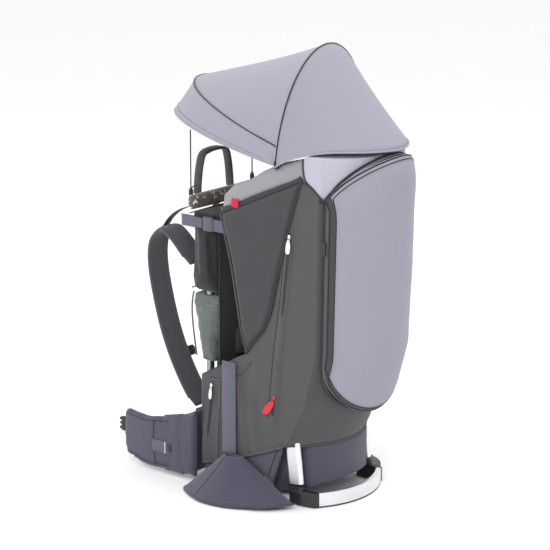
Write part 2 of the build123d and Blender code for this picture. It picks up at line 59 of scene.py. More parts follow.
SOLE = frame["record"]["mounts"][0]["pos_m"]
ELBOW_LINE = SOLE[1] - 0.063  # the stand's elbows are 63 mm in front of its sole's middle
MM = 0.001


def at(x, y, z):
    return Vector((SOLE[0] + x * MM, ELBOW_LINE + y * MM, SOLE[2] + z * MM))


# ------------------------------------------------------------------ materials
class Nodes:
    """A principled material with short calls for its texture nodes."""

    def __init__(self, name):
        self.material = bpy.data.materials.new(name)
        self.material.use_nodes = True
        self.tree = self.material.node_tree
        self.shader = self.tree.nodes["Principled BSDF"]
        self.space = self.tree.nodes.new("ShaderNodeTexCoord").outputs["Object"]

    def add(self, kind, **values):
        node = self.tree.nodes.new(kind)
        for key, value in values.items():
            if hasattr(node, key):
                setattr(node, key, value)
            else:
                node.inputs[key.replace("_", " ")].default_value = value
        return node

    def link(self, out, into):
        self.tree.links.new(out, into)

    def noise(self, scale, detail=3.0, stretch=(1, 1, 1)):
        mapping = self.add("ShaderNodeMapping")
        mapping.inputs["Scale"].default_value = stretch
        self.link(self.space, mapping.inputs["Vector"])
        texture = self.add("ShaderNodeTexNoise", Scale=scale, Detail=detail)
        self.link(mapping.outputs["Vector"], texture.inputs["Vector"])
        return texture.outputs["Fac"]

    def wave(self, direction, pitch):
        """Threads along one axis, one every pitch metres."""
        scale = 0.314 / pitch
        texture = self.add("ShaderNodeTexWave", bands_direction=direction, Scale=scale, Distortion=0.0)
        self.link(self.space, texture.inputs["Vector"])
        return texture.outputs["Fac"]

    def math(self, operation, a, b):
        node = self.add("ShaderNodeMath", operation=operation)
        for socket, value in zip(node.inputs, (a, b)):
            if isinstance(value, (int, float)):
                socket.default_value = value
            else:
                self.link(value, socket)
        return node.outputs[0]

    def mix(self, factor, a, b):
        """A colour between a and b, each of them a colour or a socket."""
        node = self.add("ShaderNodeMix", data_type="RGBA")
        factor_in, _, _, _, _, _, a_in, b_in = list(node.inputs)[:8]
        for socket, value in ((factor_in, factor), (a_in, a), (b_in, b)):
            if isinstance(value, (int, float)):
                socket.default_value = value
            elif isinstance(value, tuple):
                socket.default_value = (*value, 1)
            else:
                self.link(value, socket)
        return node.outputs[2]

    def limited(self, value, low, high, to_low=0.0, to_high=1.0):
        node = self.add("ShaderNodeMapRange")
        self.link(value, node.inputs["Value"])
        node.inputs["From Min"].default_value = low
        node.inputs["From Max"].default_value = high
        node.inputs["To Min"].default_value = to_low
        node.inputs["To Max"].default_value = to_high
        return node.outputs["Result"]

    def bump(self, height, strength, distance):
        node = self.add("ShaderNodeBump", Strength=strength, Distance=distance)
        self.link(height, node.inputs["Height"])
        self.link(node.outputs["Normal"], self.shader.inputs["Normal"])


def shades(colour, spread):
    return [tuple(max(0.0, c * k) for c in colour) for k in (1 - spread, 1 + spread)]


def cloth(name, colour, pitch=0.0012, relief=0.0004, mottle=0.08, heather=0.06, rough=0.86, sheen=0.25):
    """Woven cloth: threads along all three axes, uneven dye, a heathered yarn and a painted highlight on
    convex edges.
    """
    n = Nodes(name)
    threads = n.math("ADD", n.math("ADD", n.wave("X", pitch), n.wave("Y", pitch)), n.wave("Z", pitch))
    fibres = n.noise(1800, 2)
    patches = n.limited(n.noise(9, 4), 0.3, 0.7)
    yarn = n.limited(n.noise(620, 2), 0.35, 0.65)
    dyed = n.mix(patches, *shades(colour, mottle))
    yarned = n.mix(yarn, *shades(colour, heather + mottle))
    mixed = n.mix(0.5, dyed, yarned)
    # Convex edges (high pointiness) are painted lighter: a painted highlight along edges and piping.
    edges = n.limited(n.add("ShaderNodeNewGeometry").outputs["Pointiness"], 0.52, 0.62, 0.0, 0.35)
    painted_edge_highlight = tuple(min(1.0, c * 1.25 + 0.01) for c in colour)
    n.link(n.mix(edges, mixed, painted_edge_highlight), n.shader.inputs["Base Color"])
    n.link(n.limited(patches, 0, 1, rough - 0.06, rough + 0.06), n.shader.inputs["Roughness"])
    n.bump(n.math("ADD", threads, n.math("MULTIPLY", fibres, 0.8)), 0.55, relief)
    n.shader.inputs["Sheen Weight"].default_value = sheen
    n.shader.inputs["Sheen Roughness"].default_value = 0.5
    n.shader.inputs["Specular IOR Level"].default_value = 0.25
    return n.material


def webbing(name, colour):
    """Ribbed webbing: strong ribs, fine threads and a slight gloss."""
    n = Nodes(name)
    pitch = 0.0022
    ribs = n.math("ADD", n.wave("Z", pitch), n.math("MULTIPLY", n.wave("Y", pitch * 0.7), 0.6))
    yarn = n.limited(n.noise(900, 2), 0.3, 0.7)
    dark, light = shades(colour, 0.14)
    n.link(n.mix(yarn, dark, light), n.shader.inputs["Base Color"])
    n.link(n.limited(n.noise(60), 0.3, 0.7, 0.55, 0.75), n.shader.inputs["Roughness"])
    n.bump(ribs, 0.6, 0.0005)
    n.shader.inputs["Sheen Weight"].default_value = 0.2
    return n.material


def plastic(name, colour, rough=0.45, grain=0.00012):
    """Moulded plastic with a fine spark-eroded grain and scuffs."""
    n = Nodes(name)
    scuffs = n.limited(n.noise(35, 5, (1, 1, 0.3)), 0.35, 0.75)
    dark, light = shades(colour, 0.12)
    n.link(n.mix(scuffs, dark, light), n.shader.inputs["Base Color"])
    n.link(n.limited(scuffs, 0, 1, rough - 0.08, rough + 0.12), n.shader.inputs["Roughness"])
    n.bump(n.noise(1400, 2), 0.35, grain)
    return n.material


def metal(name, colour, rough=0.32, stretch=(1, 1, 1)):
    """Satin metal with fine drawn lines and faint handling marks."""
    n = Nodes(name)
    lines = n.noise(260, 3, stretch)
    marks = n.limited(n.noise(18, 5), 0.35, 0.7)
    dark, light = shades(colour, 0.05)
    n.link(n.mix(marks, dark, light), n.shader.inputs["Base Color"])
    worn = n.limited(n.math("ADD", lines, marks), 0.6, 1.5, rough - 0.06, rough + 0.1)
    n.link(worn, n.shader.inputs["Roughness"])
    n.bump(lines, 0.25, 0.00006)
    n.shader.inputs["Metallic"].default_value = 1.0
    return n.material


def spacer_mesh(name, ground, thread):
    """Spacer mesh: small light dots of thread over an open darker ground."""
    n = Nodes(name)
    cells = n.add("ShaderNodeTexVoronoi", Scale=380.0)
    n.link(n.space, cells.inputs["Vector"])
    holes = n.limited(cells.outputs["Distance"], 0.25, 0.5)
    patches = n.noise(12)
    coloured = n.mix(n.math("MULTIPLY", holes, n.limited(patches, 0.2, 0.8, 0.6, 1.0)), ground, thread)
    n.link(coloured, n.shader.inputs["Base Color"])
    n.link(n.limited(patches, 0.3, 0.7, 0.8, 0.92), n.shader.inputs["Roughness"])
    n.bump(holes, 0.8, 0.0008)
    n.shader.inputs["Sheen Weight"].default_value = 0.3
    return n.material


def printed_cloth(name, ground, ink):
    """Soft cloth with a generic scatter of pale broken marks."""
    n = Nodes(name)
    strokes = n.add("ShaderNodeTexVoronoi", Scale=70.0, feature="DISTANCE_TO_EDGE")
    n.link(n.space, strokes.inputs["Vector"])
    lines = n.limited(strokes.outputs["Distance"], 0.03, 0.07, 1.0, 0.0)
    broken = n.limited(n.noise(55, 3), 0.5, 0.56)
    n.link(n.mix(n.math("MULTIPLY", lines, broken), ground, ink), n.shader.inputs["Base Color"])
    n.link(n.limited(n.noise(40), 0.3, 0.7, 0.82, 0.95), n.shader.inputs["Roughness"])
    n.bump(n.noise(900, 3), 0.5, 0.0005)
    n.shader.inputs["Sheen Weight"].default_value = 0.35
    return n.material


LILAC = cloth(
    "lilac_cloth", (0.285, 0.273, 0.335), rough=0.78, sheen=0.2, mottle=0.02, heather=0.02, relief=0.00025
)
HEAD_LILAC = cloth("head_cloth", (0.44, 0.43, 0.51), rough=0.82, mottle=0.03, heather=0.03)
COLLAR = cloth("collar_cloth", (0.27, 0.265, 0.29), rough=0.92, mottle=0.05, heather=0.08, pitch=0.0016)
DARK = cloth("dark_cloth", (0.062, 0.062, 0.066), rough=0.85, mottle=0.08, heather=0.16)
WING = cloth("wing_cloth", (0.038, 0.037, 0.043), rough=0.88, mottle=0.06, heather=0.12)
SLATE = cloth("slate_cloth", (0.066, 0.064, 0.100), rough=0.8, mottle=0.07, heather=0.1)
GUSSET = cloth("gusset_cloth", (0.052, 0.052, 0.057), rough=0.84)
LINING = cloth("lining_cloth", (0.018, 0.018, 0.02), rough=0.9)
BLACK = cloth("black_cloth", (0.012, 0.012, 0.014), rough=0.88, mottle=0.1, heather=0.2)
STRAP = cloth("strap_cloth", (0.068, 0.063, 0.078), rough=0.82, mottle=0.06, heather=0.08)
MESH = spacer_mesh("mesh_cloth", (0.02, 0.025, 0.026), (0.13, 0.155, 0.155))
PRINT = printed_cloth("print_cloth", (0.085, 0.068, 0.058), (0.62, 0.58, 0.47))
SLATE_WEB = webbing("slate_webbing", (0.085, 0.086, 0.125))
DARK_WEB = webbing("dark_webbing", (0.028, 0.028, 0.032))
GREY_WEB = webbing("grey_webbing", (0.085, 0.09, 0.10))
THREAD = cloth("thread", (0.05, 0.05, 0.055), pitch=0.0005, relief=0.0001)
PALE_THREAD = cloth("pale_thread", (0.30, 0.29, 0.34), pitch=0.0005, relief=0.0001)
PIPING = cloth("piping", (0.014, 0.014, 0.016), pitch=0.0008, relief=0.0002)
CORD = cloth("cord_braid", (0.012, 0.012, 0.014), pitch=0.0009, relief=0.0003)
BLACK_PLASTIC = plastic("black_plastic", (0.018, 0.018, 0.02))
GREY_PLASTIC = plastic("grey_plastic", (0.085, 0.09, 0.105), rough=0.5)
RED = plastic("red_pull", (0.55, 0.012, 0.03), rough=0.38)
RED_TAG = cloth("red_tag", (0.62, 0.01, 0.045), pitch=0.0006, sheen=0.1)
RUBBER = plastic("rubber", (0.02, 0.02, 0.02), rough=0.75, grain=0.0003)
ALUMINIUM = metal("aluminium", (0.80, 0.80, 0.82), rough=0.34, stretch=(1, 1, 0.05))
STEEL = metal("zip_steel", (0.78, 0.78, 0.76), rough=0.25)
COATED = plastic("coated_rod", (0.012, 0.012, 0.013), rough=0.3)

# ------------------------------------------------------------------ mesh helpers
SHIFT = at(0, 0, 0)


def new_object(name, mesh, material):
    obj = bpy.data.objects.new(name, mesh)
    bpy.context.scene.collection.objects.link(obj)
    mesh.materials.clear()
    mesh.materials.append(material)
    mesh.shade_smooth()
    return obj


def thicken(obj, thick, offset=-1.0):
    solid = obj.modifiers.new("thickness", "SOLIDIFY")
    solid.thickness = thick * MM
    solid.offset = offset


def from_rows(name, rows, material, closed=False, caps=False):
    """A skin over rows of points, each row closed into a ring if asked."""
    mesh = bpy.data.meshes.new(name)
    bm = bmesh.new()
    made = [[bm.verts.new(at(*p)) for p in row] for row in rows]
    width = len(rows[0])
    for low, high in zip(made, made[1:]):
        for i in range(width if closed else width - 1):
            j = (i + 1) % width
            bm.faces.new((low[i], low[j], high[j], high[i]))
    if caps:
        bm.faces.new(list(reversed(made[0])))
        bm.faces.new(made[-1])
    bmesh.ops.remove_doubles(bm, verts=bm.verts, dist=2e-5)
    bmesh.ops.recalc_face_normals(bm, faces=bm.faces)
    bm.to_mesh(mesh)
    bm.free()
    return new_object(name, mesh, material)


def skin(name, point, across, along, material, thick=0.0, offset=0.0):
    """A sheet whose points are point(u, v), with u and v from 0 to 1."""
    rows = [[point(i / across, j / along) for i in range(across + 1)] for j in range(along + 1)]
    obj = from_rows(name, rows, material)
    if thick:
        thicken(obj, thick, offset)
    return obj


def lines(name, runs, radius, material, smooth=True, closed=False):
    """Round cords or piping along one or more runs of points, as a mesh."""
    curve = bpy.data.curves.new(name, "CURVE")
    curve.dimensions = "3D"
    curve.bevel_depth = radius * MM
    curve.bevel_resolution = 2
    curve.resolution_u = 3
    curve.use_fill_caps = True
    for run in runs:
        spline = curve.splines.new("NURBS" if smooth else "POLY")
        spline.points.add(len(run) - 1)
        for spot, p in zip(spline.points, run):
            spot.co = (*at(*p), 1)
        if smooth:
            spline.order_u = 3
            spline.use_endpoint_u = not closed
        spline.use_cyclic_u = closed
    draft = bpy.data.objects.new(name, curve)
    bpy.context.scene.collection.objects.link(draft)
    bpy.context.view_layer.update()
    mesh = bpy.data.meshes.new_from_object(draft)
    bpy.data.objects.remove(draft)
    return new_object(name, mesh, material)


def resample(points, step):
    """Points every step mm along a run."""
    run = [Vector(p) for p in points]
    lengths = [(b - a).length for a, b in zip(run, run[1:])]
    total = sum(lengths)
    count = max(2, round(total / step) + 1)
    made = []
    for i in range(count):
        left = total * i / (count - 1)
        for a, b, size in zip(run, run[1:], lengths):
            if left <= size or b is run[-1]:
                made.append(a.lerp(b, min(1.0, left / max(size, 1e-9))))
                break
            left -= size
    return made


def rounded(points, turns=3):
    """Corner cutting, which turns a few corner points into a smooth run."""
    run = [Vector(p) for p in points]
    for _ in range(turns):
        cut = [run[0]]
        for a, b in zip(run, run[1:]):
            cut += [a.lerp(b, 0.25), a.lerp(b, 0.75)]
        run = cut + [run[-1]]
    return run


def stitches(name, runs, material, length=3.0, space=2.2, radius=0.45):
    """Separate raised stitches along each run."""
    dashes = []
    for run in runs:
        marks = resample(run, (length + space) / 4)
        for i in range(0, len(marks) - 3, 4):
            dashes.append([tuple(marks[i]), tuple(marks[i + 1]), tuple(marks[i + 2])])
    return lines(name, dashes, radius, material, smooth=False)


def ribbon(name, points, across, wide, thick, material, step=6.0):
    """Flat webbing: a run of points with its width along across, and softly rounded edges."""
    run = resample(rounded(points), step)
    across = Vector(across).normalized()
    rows = []
    for i, p in enumerate(run):
        ahead = (run[min(i + 1, len(run) - 1)] - run[max(i - 1, 0)]).normalized()
        up = ahead.cross(across).normalized()
        side = up.cross(ahead).normalized()
        half, deep = wide / 2, thick / 2
        profile = [
            (-half, -deep * 0.5), (-half * 0.94, -deep), (0, -deep * 1.05), (half * 0.94, -deep),
            (half, -deep * 0.5), (half, deep * 0.5), (half * 0.94, deep), (0, deep * 1.05),
            (-half * 0.94, deep), (-half, deep * 0.5),
        ]
        rows.append([p + side * a + up * b for a, b in profile])
    return from_rows(name, rows, material, closed=True, caps=True)


def chunk(name, corners, material, bevel=2.0):
    """A moulded block between two corners, with rounded edges."""
    low, high = Vector(corners[0]), Vector(corners[1])
    mesh = bpy.data.meshes.new(name)
    bm = bmesh.new()
    bmesh.ops.create_cube(bm, size=1.0)
    middle, size = (low + high) / 2, high - low
    for v in bm.verts:
        v.co = at(*[middle[i] + v.co[i] * size[i] for i in range(3)])
    bmesh.ops.bevel(bm, geom=bm.edges, offset=bevel * MM, segments=3, affect="EDGES", profile=0.6)
    bm.to_mesh(mesh)
    bm.free()
    return new_object(name, mesh, material)


def joined(name, objects):
    """Several meshes as one piece, which keeps each one's material."""
    for o in objects:
        if o.modifiers:
            apply_modifiers(o)
    bm = bmesh.new()
    materials = []
    for o in objects:
        material = o.data.materials[0]
        if material not in materials:
            materials.append(material)
        before = len(bm.faces)
        bm.from_mesh(o.data)
        bm.faces.ensure_lookup_table()
        for face in bm.faces[before:]:
            face.material_index = materials.index(material)
        bpy.data.objects.remove(o)
    mesh = bpy.data.meshes.new(name)
    bm.to_mesh(mesh)
    bm.free()
    obj = bpy.data.objects.new(name, mesh)
    bpy.context.scene.collection.objects.link(obj)
    for material in materials:
        mesh.materials.append(material)
    return obj


def apply_modifiers(obj):
    bpy.context.view_layer.update()
    graph = bpy.context.evaluated_depsgraph_get()
    mesh = bpy.data.meshes.new_from_object(obj.evaluated_get(graph))
    obj.modifiers.clear()
    obj.data = mesh


def mirrored(obj, name):
    """The right side's copy of a left piece."""
    mesh = obj.data.copy()
    for v in mesh.vertices:
        v.co.x = 2 * SHIFT.x - v.co.x
    mesh.flip_normals()
    copy = bpy.data.objects.new(name, mesh)
    bpy.context.scene.collection.objects.link(copy)
    for modifier in obj.modifiers:
        twin = copy.modifiers.new(modifier.name, modifier.type)
        if modifier.type == "SOLIDIFY":
            twin.thickness, twin.offset = modifier.thickness, modifier.offset
        if modifier.type == "SUBSURF":
            twin.levels = twin.render_levels = modifier.levels
    return copy


def pair(obj, left_name, right_name):
    obj.name = left_name
    return obj, mirrored(obj, right_name)


def smoother(obj):
    modifier = obj.modifiers.new("rounding", "SUBSURF")
    modifier.levels = modifier.render_levels = 1


def softened(obj, rounds):
    modifier = obj.modifiers.new("rounding", "SMOOTH")
    modifier.factor = 0.5
    modifier.iterations = rounds


def copy_of(node, name, material):
    mesh = frame["nodes"][node].data.copy()
    mesh.name = name
    return new_object(name, mesh, material)


def remeshed(obj, voxel):
    modifier = obj.modifiers.new("remesh", "REMESH")
    modifier.mode = "VOXEL"
    modifier.voxel_size = voxel * MM
    modifier.use_smooth_shade = True
    apply_modifiers(obj)
    return obj


def puffed(obj, voxel=5.0, cap=5.0, pressure=4.0, shrink=1.5, soften=4, fill=0.6):
    """Stuffed cloth: remesh the solid, draw it in a little, inflate it as cloth and cap the swelling."""
    material = obj.data.materials[0]
    remeshed(obj, voxel)
    bm = bmesh.new()
    bm.from_mesh(obj.data)
    for _ in range(soften):
        bmesh.ops.smooth_vert(
            bm, verts=bm.verts, factor=0.5, use_axis_x=True, use_axis_y=True, use_axis_z=True
        )
    bm.normal_update()
    for v in bm.verts:
        v.co -= v.normal * shrink * MM
    bm.to_mesh(obj.data)
    bm.free()
    rest = [v.co.copy() for v in obj.data.vertices]
    sim = obj.modifiers.new("stuffing", "CLOTH")
    sim.settings.use_pressure = True
    sim.settings.uniform_pressure_force = pressure
    sim.settings.effector_weights.gravity = 0.0
    sim.settings.quality = 4
    scene = bpy.context.scene
    for step in range(1, 15):
        scene.frame_set(step)
    graph = bpy.context.evaluated_depsgraph_get()
    swollen = bpy.data.meshes.new_from_object(obj.evaluated_get(graph))
    obj.modifiers.clear()
    scene.frame_set(1)
    for v, start in zip(swollen.vertices, rest):
        move = v.co - start
        if move.length > cap * MM:
            move *= cap * MM / move.length
        v.co = start + move
    obj.data = swollen
    obj.data.materials.clear()
    obj.data.materials.append(material)
    obj.data.shade_smooth()
    smoother(obj)
    return obj


def ride(obj, body, slot=None, replaces=()):
    if replaces:
        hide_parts(*replaces)
    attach(obj, body)


def both(name, piece, body, slot, replaces=()):
    """A left piece and its mirror, both riding one body."""
    for obj in pair(piece, "left_" + name, "right_" + name):
        ride(obj, body, slot, replaces)


def on_sides(name, piece, body, slot, node=None):
    """A left piece and its mirror, each riding its own side's body for its own side's node."""
    for obj, word in zip(pair(piece, "left_" + name, "right_" + name), ("left", "right")):
        ride(obj, word + "_" + body, slot, [word + "_" + node] if node else ())


def trim(name, piece, slot="dark_cloth"):
    """Seams, stitches and edges of the carrier's two sides."""
    both(name, piece, "carrier", slot)


def between(levels, z):
    """Straight interpolation in a list of (z, value) pairs."""
    if z <= levels[0][0]:
        return levels[0][1]
    for (z0, a), (z1, b) in zip(levels, levels[1:]):
        if z <= z1:
            return a + (b - a) * (z - z0) / (z1 - z0)
    return levels[-1][1]


def eased(levels, z, reach):
    """The same, with its corners rounded over reach either way."""
    steps = (-1, -0.5, 0, 0.5, 1)
    return sum(between(levels, z + k * reach) for k in steps) / len(steps)


def distance_to(line, y, z):
    """Distance in side view from (y, z) to a run of (y, z) points."""
    spot = Vector((y, z))
    best = 1e9
    for a, b in zip(line, line[1:]):
        a, b = Vector(a), Vector(b)
        run = b - a
        share = max(0.0, min(1.0, (spot - a).dot(run) / run.length_squared))
        best = min(best, (spot - a - run * share).length)
    return best


def wrinkle(x, y, z, size, seed=0.0):
    """Soft folds: smooth noise from -1 to 1 with the given wavelength."""
    return noise.noise(Vector((x / size + seed, y / size - seed, z / size + 3 * seed)))


# ------------------------------------------------------------------ canopy
HUB_Y, HUB_Z = -50, 712


def bow_curve(u, half, foot_z, reach, rise):
    """A half-ellipse from the left foot to the right one, leaning by reach at its apex."""
    s = math.sin(math.pi * u)
    return Vector((half * math.cos(math.pi * u), HUB_Y + reach * s, foot_z + rise * s))


def main_curve(u):
    return bow_curve(u, 141.5, HUB_Z, 19, 231.5)


def visor_curve(u):
    return bow_curve(u, 139, 753, -319, 88)


def lip_curve(u):
    return bow_curve(u, 140, 713, -378, 56)


def rear_curve(u):
    s = math.sin(math.pi * u)
    c = math.cos(math.pi * u)
    climb = 41 * math.sin(min(1.0, max(s, 0.0) / 0.7) * math.pi / 2) ** 0.8
    return Vector((142 * math.copysign(abs(c) ** 1.2, c), HUB_Y + 206 * s, HUB_Z + climb))


def vault(start, end, sag):
    """Cloth ruled from one curve to another, drawn in between them by its own tension."""

    def point(u, v):
        p = start(u).lerp(end(u), v)
        inward = Vector((0, HUB_Y, 740)) - p
        pull = sag * 4 * v * (1 - v) * math.sin(math.pi * u)
        ripple = 0.8 * wrinkle(*p, 55, 2.0) * 4 * v * (1 - v)
        return p + inward.normalized() * (pull + ripple)

    return point


def flat_size(point, across=40, along=12):
    """The cloth's area, its longer edge and its longest line between edges, in metres."""
    area = 0.0
    grid = [[point(i / across, j / along) for i in range(across + 1)] for j in range(along + 1)]
    for j in range(along):
        for i in range(across):
            a, b, c, d = grid[j][i], grid[j][i + 1], grid[j + 1][i + 1], grid[j + 1][i]
            area += ((b - a).cross(d - a).length + (d - c).cross(b - c).length) / 2
    width = max(sum((a - b).length for a, b in zip(row, row[1:])) for row in (grid[0], grid[-1]))
    length = max(sum((grid[j][i] - grid[j + 1][i]).length for j in range(along)) for i in range(across + 1))
    return area * MM * MM, width * MM, length * MM


cloths = []
for name, start, end, sag, along, thick, node in (
    ("canopy_rear", main_curve, rear_curve, 4, 16, 1.2, "canopy_rear_cloth"),
    ("canopy_top", main_curve, visor_curve, 5, 20, 1.2, "canopy_top_cloth"),
    ("canopy_visor", visor_curve, lip_curve, 2, 10, 1.6, "visor_cloth"),
):
    point = vault(start, end, sag)
    obj = skin(name, point, 64, along, LILAC, thick=thick)
    area, width, length = flat_size(point)
    print("cut", name, round(width, 3), round(length, 3), round(area, 4))
    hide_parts(node)
    cloths.append(obj)
rear_cloth, top_cloth, visor_cloth = cloths


def run_of(curve, low=0.0, high=1.0, count=48, lift=0.0):
    made = []
    for i in range(count + 1):
        p = curve(low + (high - low) * i / count)
        out = (p - Vector((0, p.y, HUB_Z))).normalized()
        made.append(tuple(p + out * lift))
    return made


main_piping = lines("main_bow_piping", [run_of(main_curve, lift=0.9)], 1.5, PIPING)
ride(main_piping, "canopy", "bow_metal")
visor_piping = lines("visor_bow_piping", [run_of(visor_curve, lift=0.9)], 1.3, PIPING)
ride(visor_piping, "visor", "bow_metal")
lip_hem = lines("lip_hem", [run_of(lip_curve)], 1.8, PALE_THREAD)
ride(lip_hem, "visor", "lilac_cloth")


def inside_lip(share):
    return lambda u: lip_curve(u).lerp(visor_curve(u), share)


tip = lines("tips", [[(140.5, -50, 722), (140.5, -50, 708)]], 4.0, BLACK_PLASTIC)
both("bow_tip", tip, "canopy", "black_plastic")
hem_seam = stitches("lip_stitches", [run_of(inside_lip(0.16), 0.03, 0.97, 90, 0.7)], THREAD)
ride(hem_seam, "visor", "lilac_cloth")
rear_hem = lines("rear_hem", [run_of(rear_curve)], 1.8, PALE_THREAD)
ride(rear_hem, "carrier", "lilac_cloth")
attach(visor_cloth, "visor")
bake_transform(rear_cloth)
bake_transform(top_cloth)

# ------------------------------------------------------------------ bag
HALF = 135
REAR_SIDE = [(8, -80), (124, -42), (134, -22), (215, 20), (330, 50), (650, 56), (760, 60)]
REAR_MIDDLE = [(8, -62), (124, 33), (134, 36), (215, 62), (330, 98), (650, 116), (760, 130)]
WING_REAR = [(-134, 307), (-110, 336), (-83, 366), (-64, 412), (-56, 455), (-17, 597), (12, 690)]
WING_FRONT = [(-203, 592), (-198, 568), (-177, 498), (-161, 416), (-150, 354), (-134, 307)]
BASE_SEAM = [(-262, 38), (-256, 40), (-159, 72), (-90, 99), (-28, 124), (60, 127)]
BAG_FRONT_Y = -258
BAG_FRONT = [(-256, 40), (-260, 120), (BAG_FRONT_Y, 238), (-134, 307), *WING_REAR[1:], (70, 652)]
BAG_TOP = [(-258, 238), (-134, 307), *WING_REAR[1:], (40, 676), (70, 652)]


def rear_y(x, z, swell_side=0.0, swell_middle=0.0, half=HALF):
    """The bag's rear surface: y at x and z."""
    corner = eased(REAR_SIDE, z, 9) + swell_side
    middle = eased(REAR_MIDDLE, z, 9) + swell_middle
    return corner + (middle - corner) * (1 - (x / half) ** 2)


def bag_side(u, v):
    """The bag's left side, from its front edge to its rear corner and from its base seam up."""
    z = 330.0
    for _ in range(6):
        y = BAG_FRONT_Y + (rear_y(HALF, z) - BAG_FRONT_Y) * u
        z = between(BASE_SEAM, y) + v * (between(BAG_TOP, y) - between(BASE_SEAM, y))
    zip_fold = 1.6 * math.exp(-(distance_to([(-17, 590), (-30, 460), (-62, 180)], y, z) / 9) ** 2)
    hem_fold = 2.2 * math.exp(-((z - between(BASE_SEAM, y) - 10) / 9) ** 2) * wrinkle(0, y, 0, 22, 4.0)
    swell = 1.6 * math.sin(math.pi * u) * math.sin(math.pi * v)
    hollow = 1.4 * wrinkle(0, y, z, 75, 1.0) * math.sin(math.pi * u)
    slack = max(0.0, min(1.0, (-70 - y) / 60)) * math.sin(math.pi * min(1.0, max(0.0, v)))
    hollow += 4.5 * slack * wrinkle(0, y * 1.9, z * 0.55, 42, 3.3)
    return Vector((HALF - 1.2 + swell + hollow * 0.8 + zip_fold + hem_fold, y, z))


def bag_rear(u, v):
    x = HALF - 2 * HALF * u
    low, high = 126, 652
    z = low + v * (high - low)
    return Vector((x * (HALF - 1.2) / HALF, rear_y(x, z), z))


def bag_front(u, v):
    """The bag's front and the cockpit's back, across the bag along one side-view line."""
    run = resample([(0, y, z) for y, z in BAG_FRONT], 9)
    p = run[round(v * (len(run) - 1))]
    return Vector(((HALF - 1.2) * (1 - 2 * u), p.y + 1, p.z))


left_side = skin("left_side_cloth", bag_side, 90, 110, DARK)
right_side = mirrored(left_side, "right_side_cloth")
rear_side = skin("rear_cloth", bag_rear, 44, 90, DARK)
front_side = skin("front_cloth", bag_front, 24, 84, BLACK)
main_bag = joined("bag_shell", [left_side, right_side, rear_side, front_side])
main_bag.data.shade_smooth()
thicken(main_bag, 2.4)
ride(main_bag, "carrier", "dark_cloth", ["main_bag"])


def side_x(y, z):
    """How far out the bag's side stands at y and z."""
    corner = rear_y(HALF, z)
    u = max(0.0, min(1.0, (y - BAG_FRONT_Y) / (corner - BAG_FRONT_Y)))
    low, high = between(BASE_SEAM, y), between(BAG_TOP, y)
    return bag_side(u, max(0.0, min(1.0, (z - low) / (high - low)))).x


def on_side(points, lift=0.4, step=8.0):
    """A run of side-view points laid on the bag's side."""
    run = resample([(0, y, z) for y, z in points], step)
    return [(side_x(p.y, p.z) + lift, p.y, p.z) for p in run]


flap_front = [(-27, 588), (-42, 450), (-60, 330), (-76, 178)]
flap_rear = [(-7, 590), (-19, 460), (-36, 330), (-50, 178)]
flap_runs = [on_side(flap_front, 0.3, 2), on_side(flap_rear, 0.3, 2)]
trim("flap_stitches", stitches("s", flap_runs, THREAD))
trim("flap_edges", lines("s", [on_side(flap_front, 0.0)], 0.9, PIPING))
pocket_mouth = [(-232, 236), (-210, 238), (-150, 256), (-118, 292)]
pocket_seam = [(-213, 60), (-208, 150), (-204, 234)]
trim("pocket_seams", lines("s", [on_side(run, 0.1) for run in (pocket_mouth, pocket_seam)], 0.8, PIPING))
trim("pocket_stitches", stitches("s", [on_side([(y + 4, z) for y, z in pocket_seam], 0.2, 2)], THREAD))
hem_line = [(-254, 42), (-159, 74), (-90, 101), (-36, 124)]
trim("hem_roll", lines("s", [on_side(hem_line, 0.2, 12)], 2.0, DARK))
hem_stitch_line = [(y, z + 7) for y, z in hem_line]
trim("hem_stitches", stitches("s", [on_side(hem_stitch_line, 0.3, 2)], THREAD))
rear_hem_run = [(HALF - 1 - 6.0 * i, rear_y(HALF - 1 - 6.0 * i, 128) + 0.5, 126) for i in range(46)]
ride(lines("rear_hem_roll", [rear_hem_run], 2.0, DARK), "carrier", "dark_cloth")

base = remeshed(copy_of("base_cover", "slate_base", SLATE), 2.6)
for v in base.data.vertices:
    p = (v.co - SHIFT) / MM
    outer = max(0.0, 1 - abs(abs(p.x) - 130) / 3)
    v.co.x += math.copysign(1.0, p.x) * outer * (1.4 * wrinkle(0, p.y, p.z, 45, 5.0) - 0.6) * MM
    v.co.y += 1.2 * wrinkle(p.x, 0, p.z, 50, 6.0) * MM * (1 if p.y > -150 else 0)
softened(base, 5)
ride(base, "carrier", "slate_cloth", ["base_cover"])
base_panel = [(130.6, -88, 20), (130.8, -74, 74), (130.4, -52, 116)]
base_foot = [(130.4, -250, 16), (130.6, -170, 20), (130.6, -88, 20)]
trim("base_seams", lines("s", [base_panel, base_foot], 0.9, PIPING), "slate_cloth")

wing_draft = copy_of("left_side_wing", "left_wing", WING)
wing = puffed(wing_draft, voxel=3.6, cap=1.8, shrink=0.4, soften=2, fill=0.4)
for obj, node in zip(pair(wing, "left_wing", "right_wing"), ("left_side_wing", "right_side_wing")):
    ride(obj, "carrier", "dark_cloth", [node])
trim("wing_piping", lines("s", [[(135.4, y, z) for y, z in WING_REAR]], 2.0, PIPING))
trim("wing_binding", lines("s", [[(134.5, y + 1, z) for y, z in WING_FRONT]], 2.0, GUSSET))
tape_run = [(130, -200, 594.5), (130, -100, 640), (130, 10, 690)]
trim("collar_tape", ribbon("s", tape_run, (0, -0.41, 0.91), 20, 3, WING))
collar_seam = [(133.6, -204, 594), (135, -140, 622), (135, -60, 658), (134.6, 12, 691)]
trim("collar_seam", lines("s", [collar_seam], 1.5, PIPING))

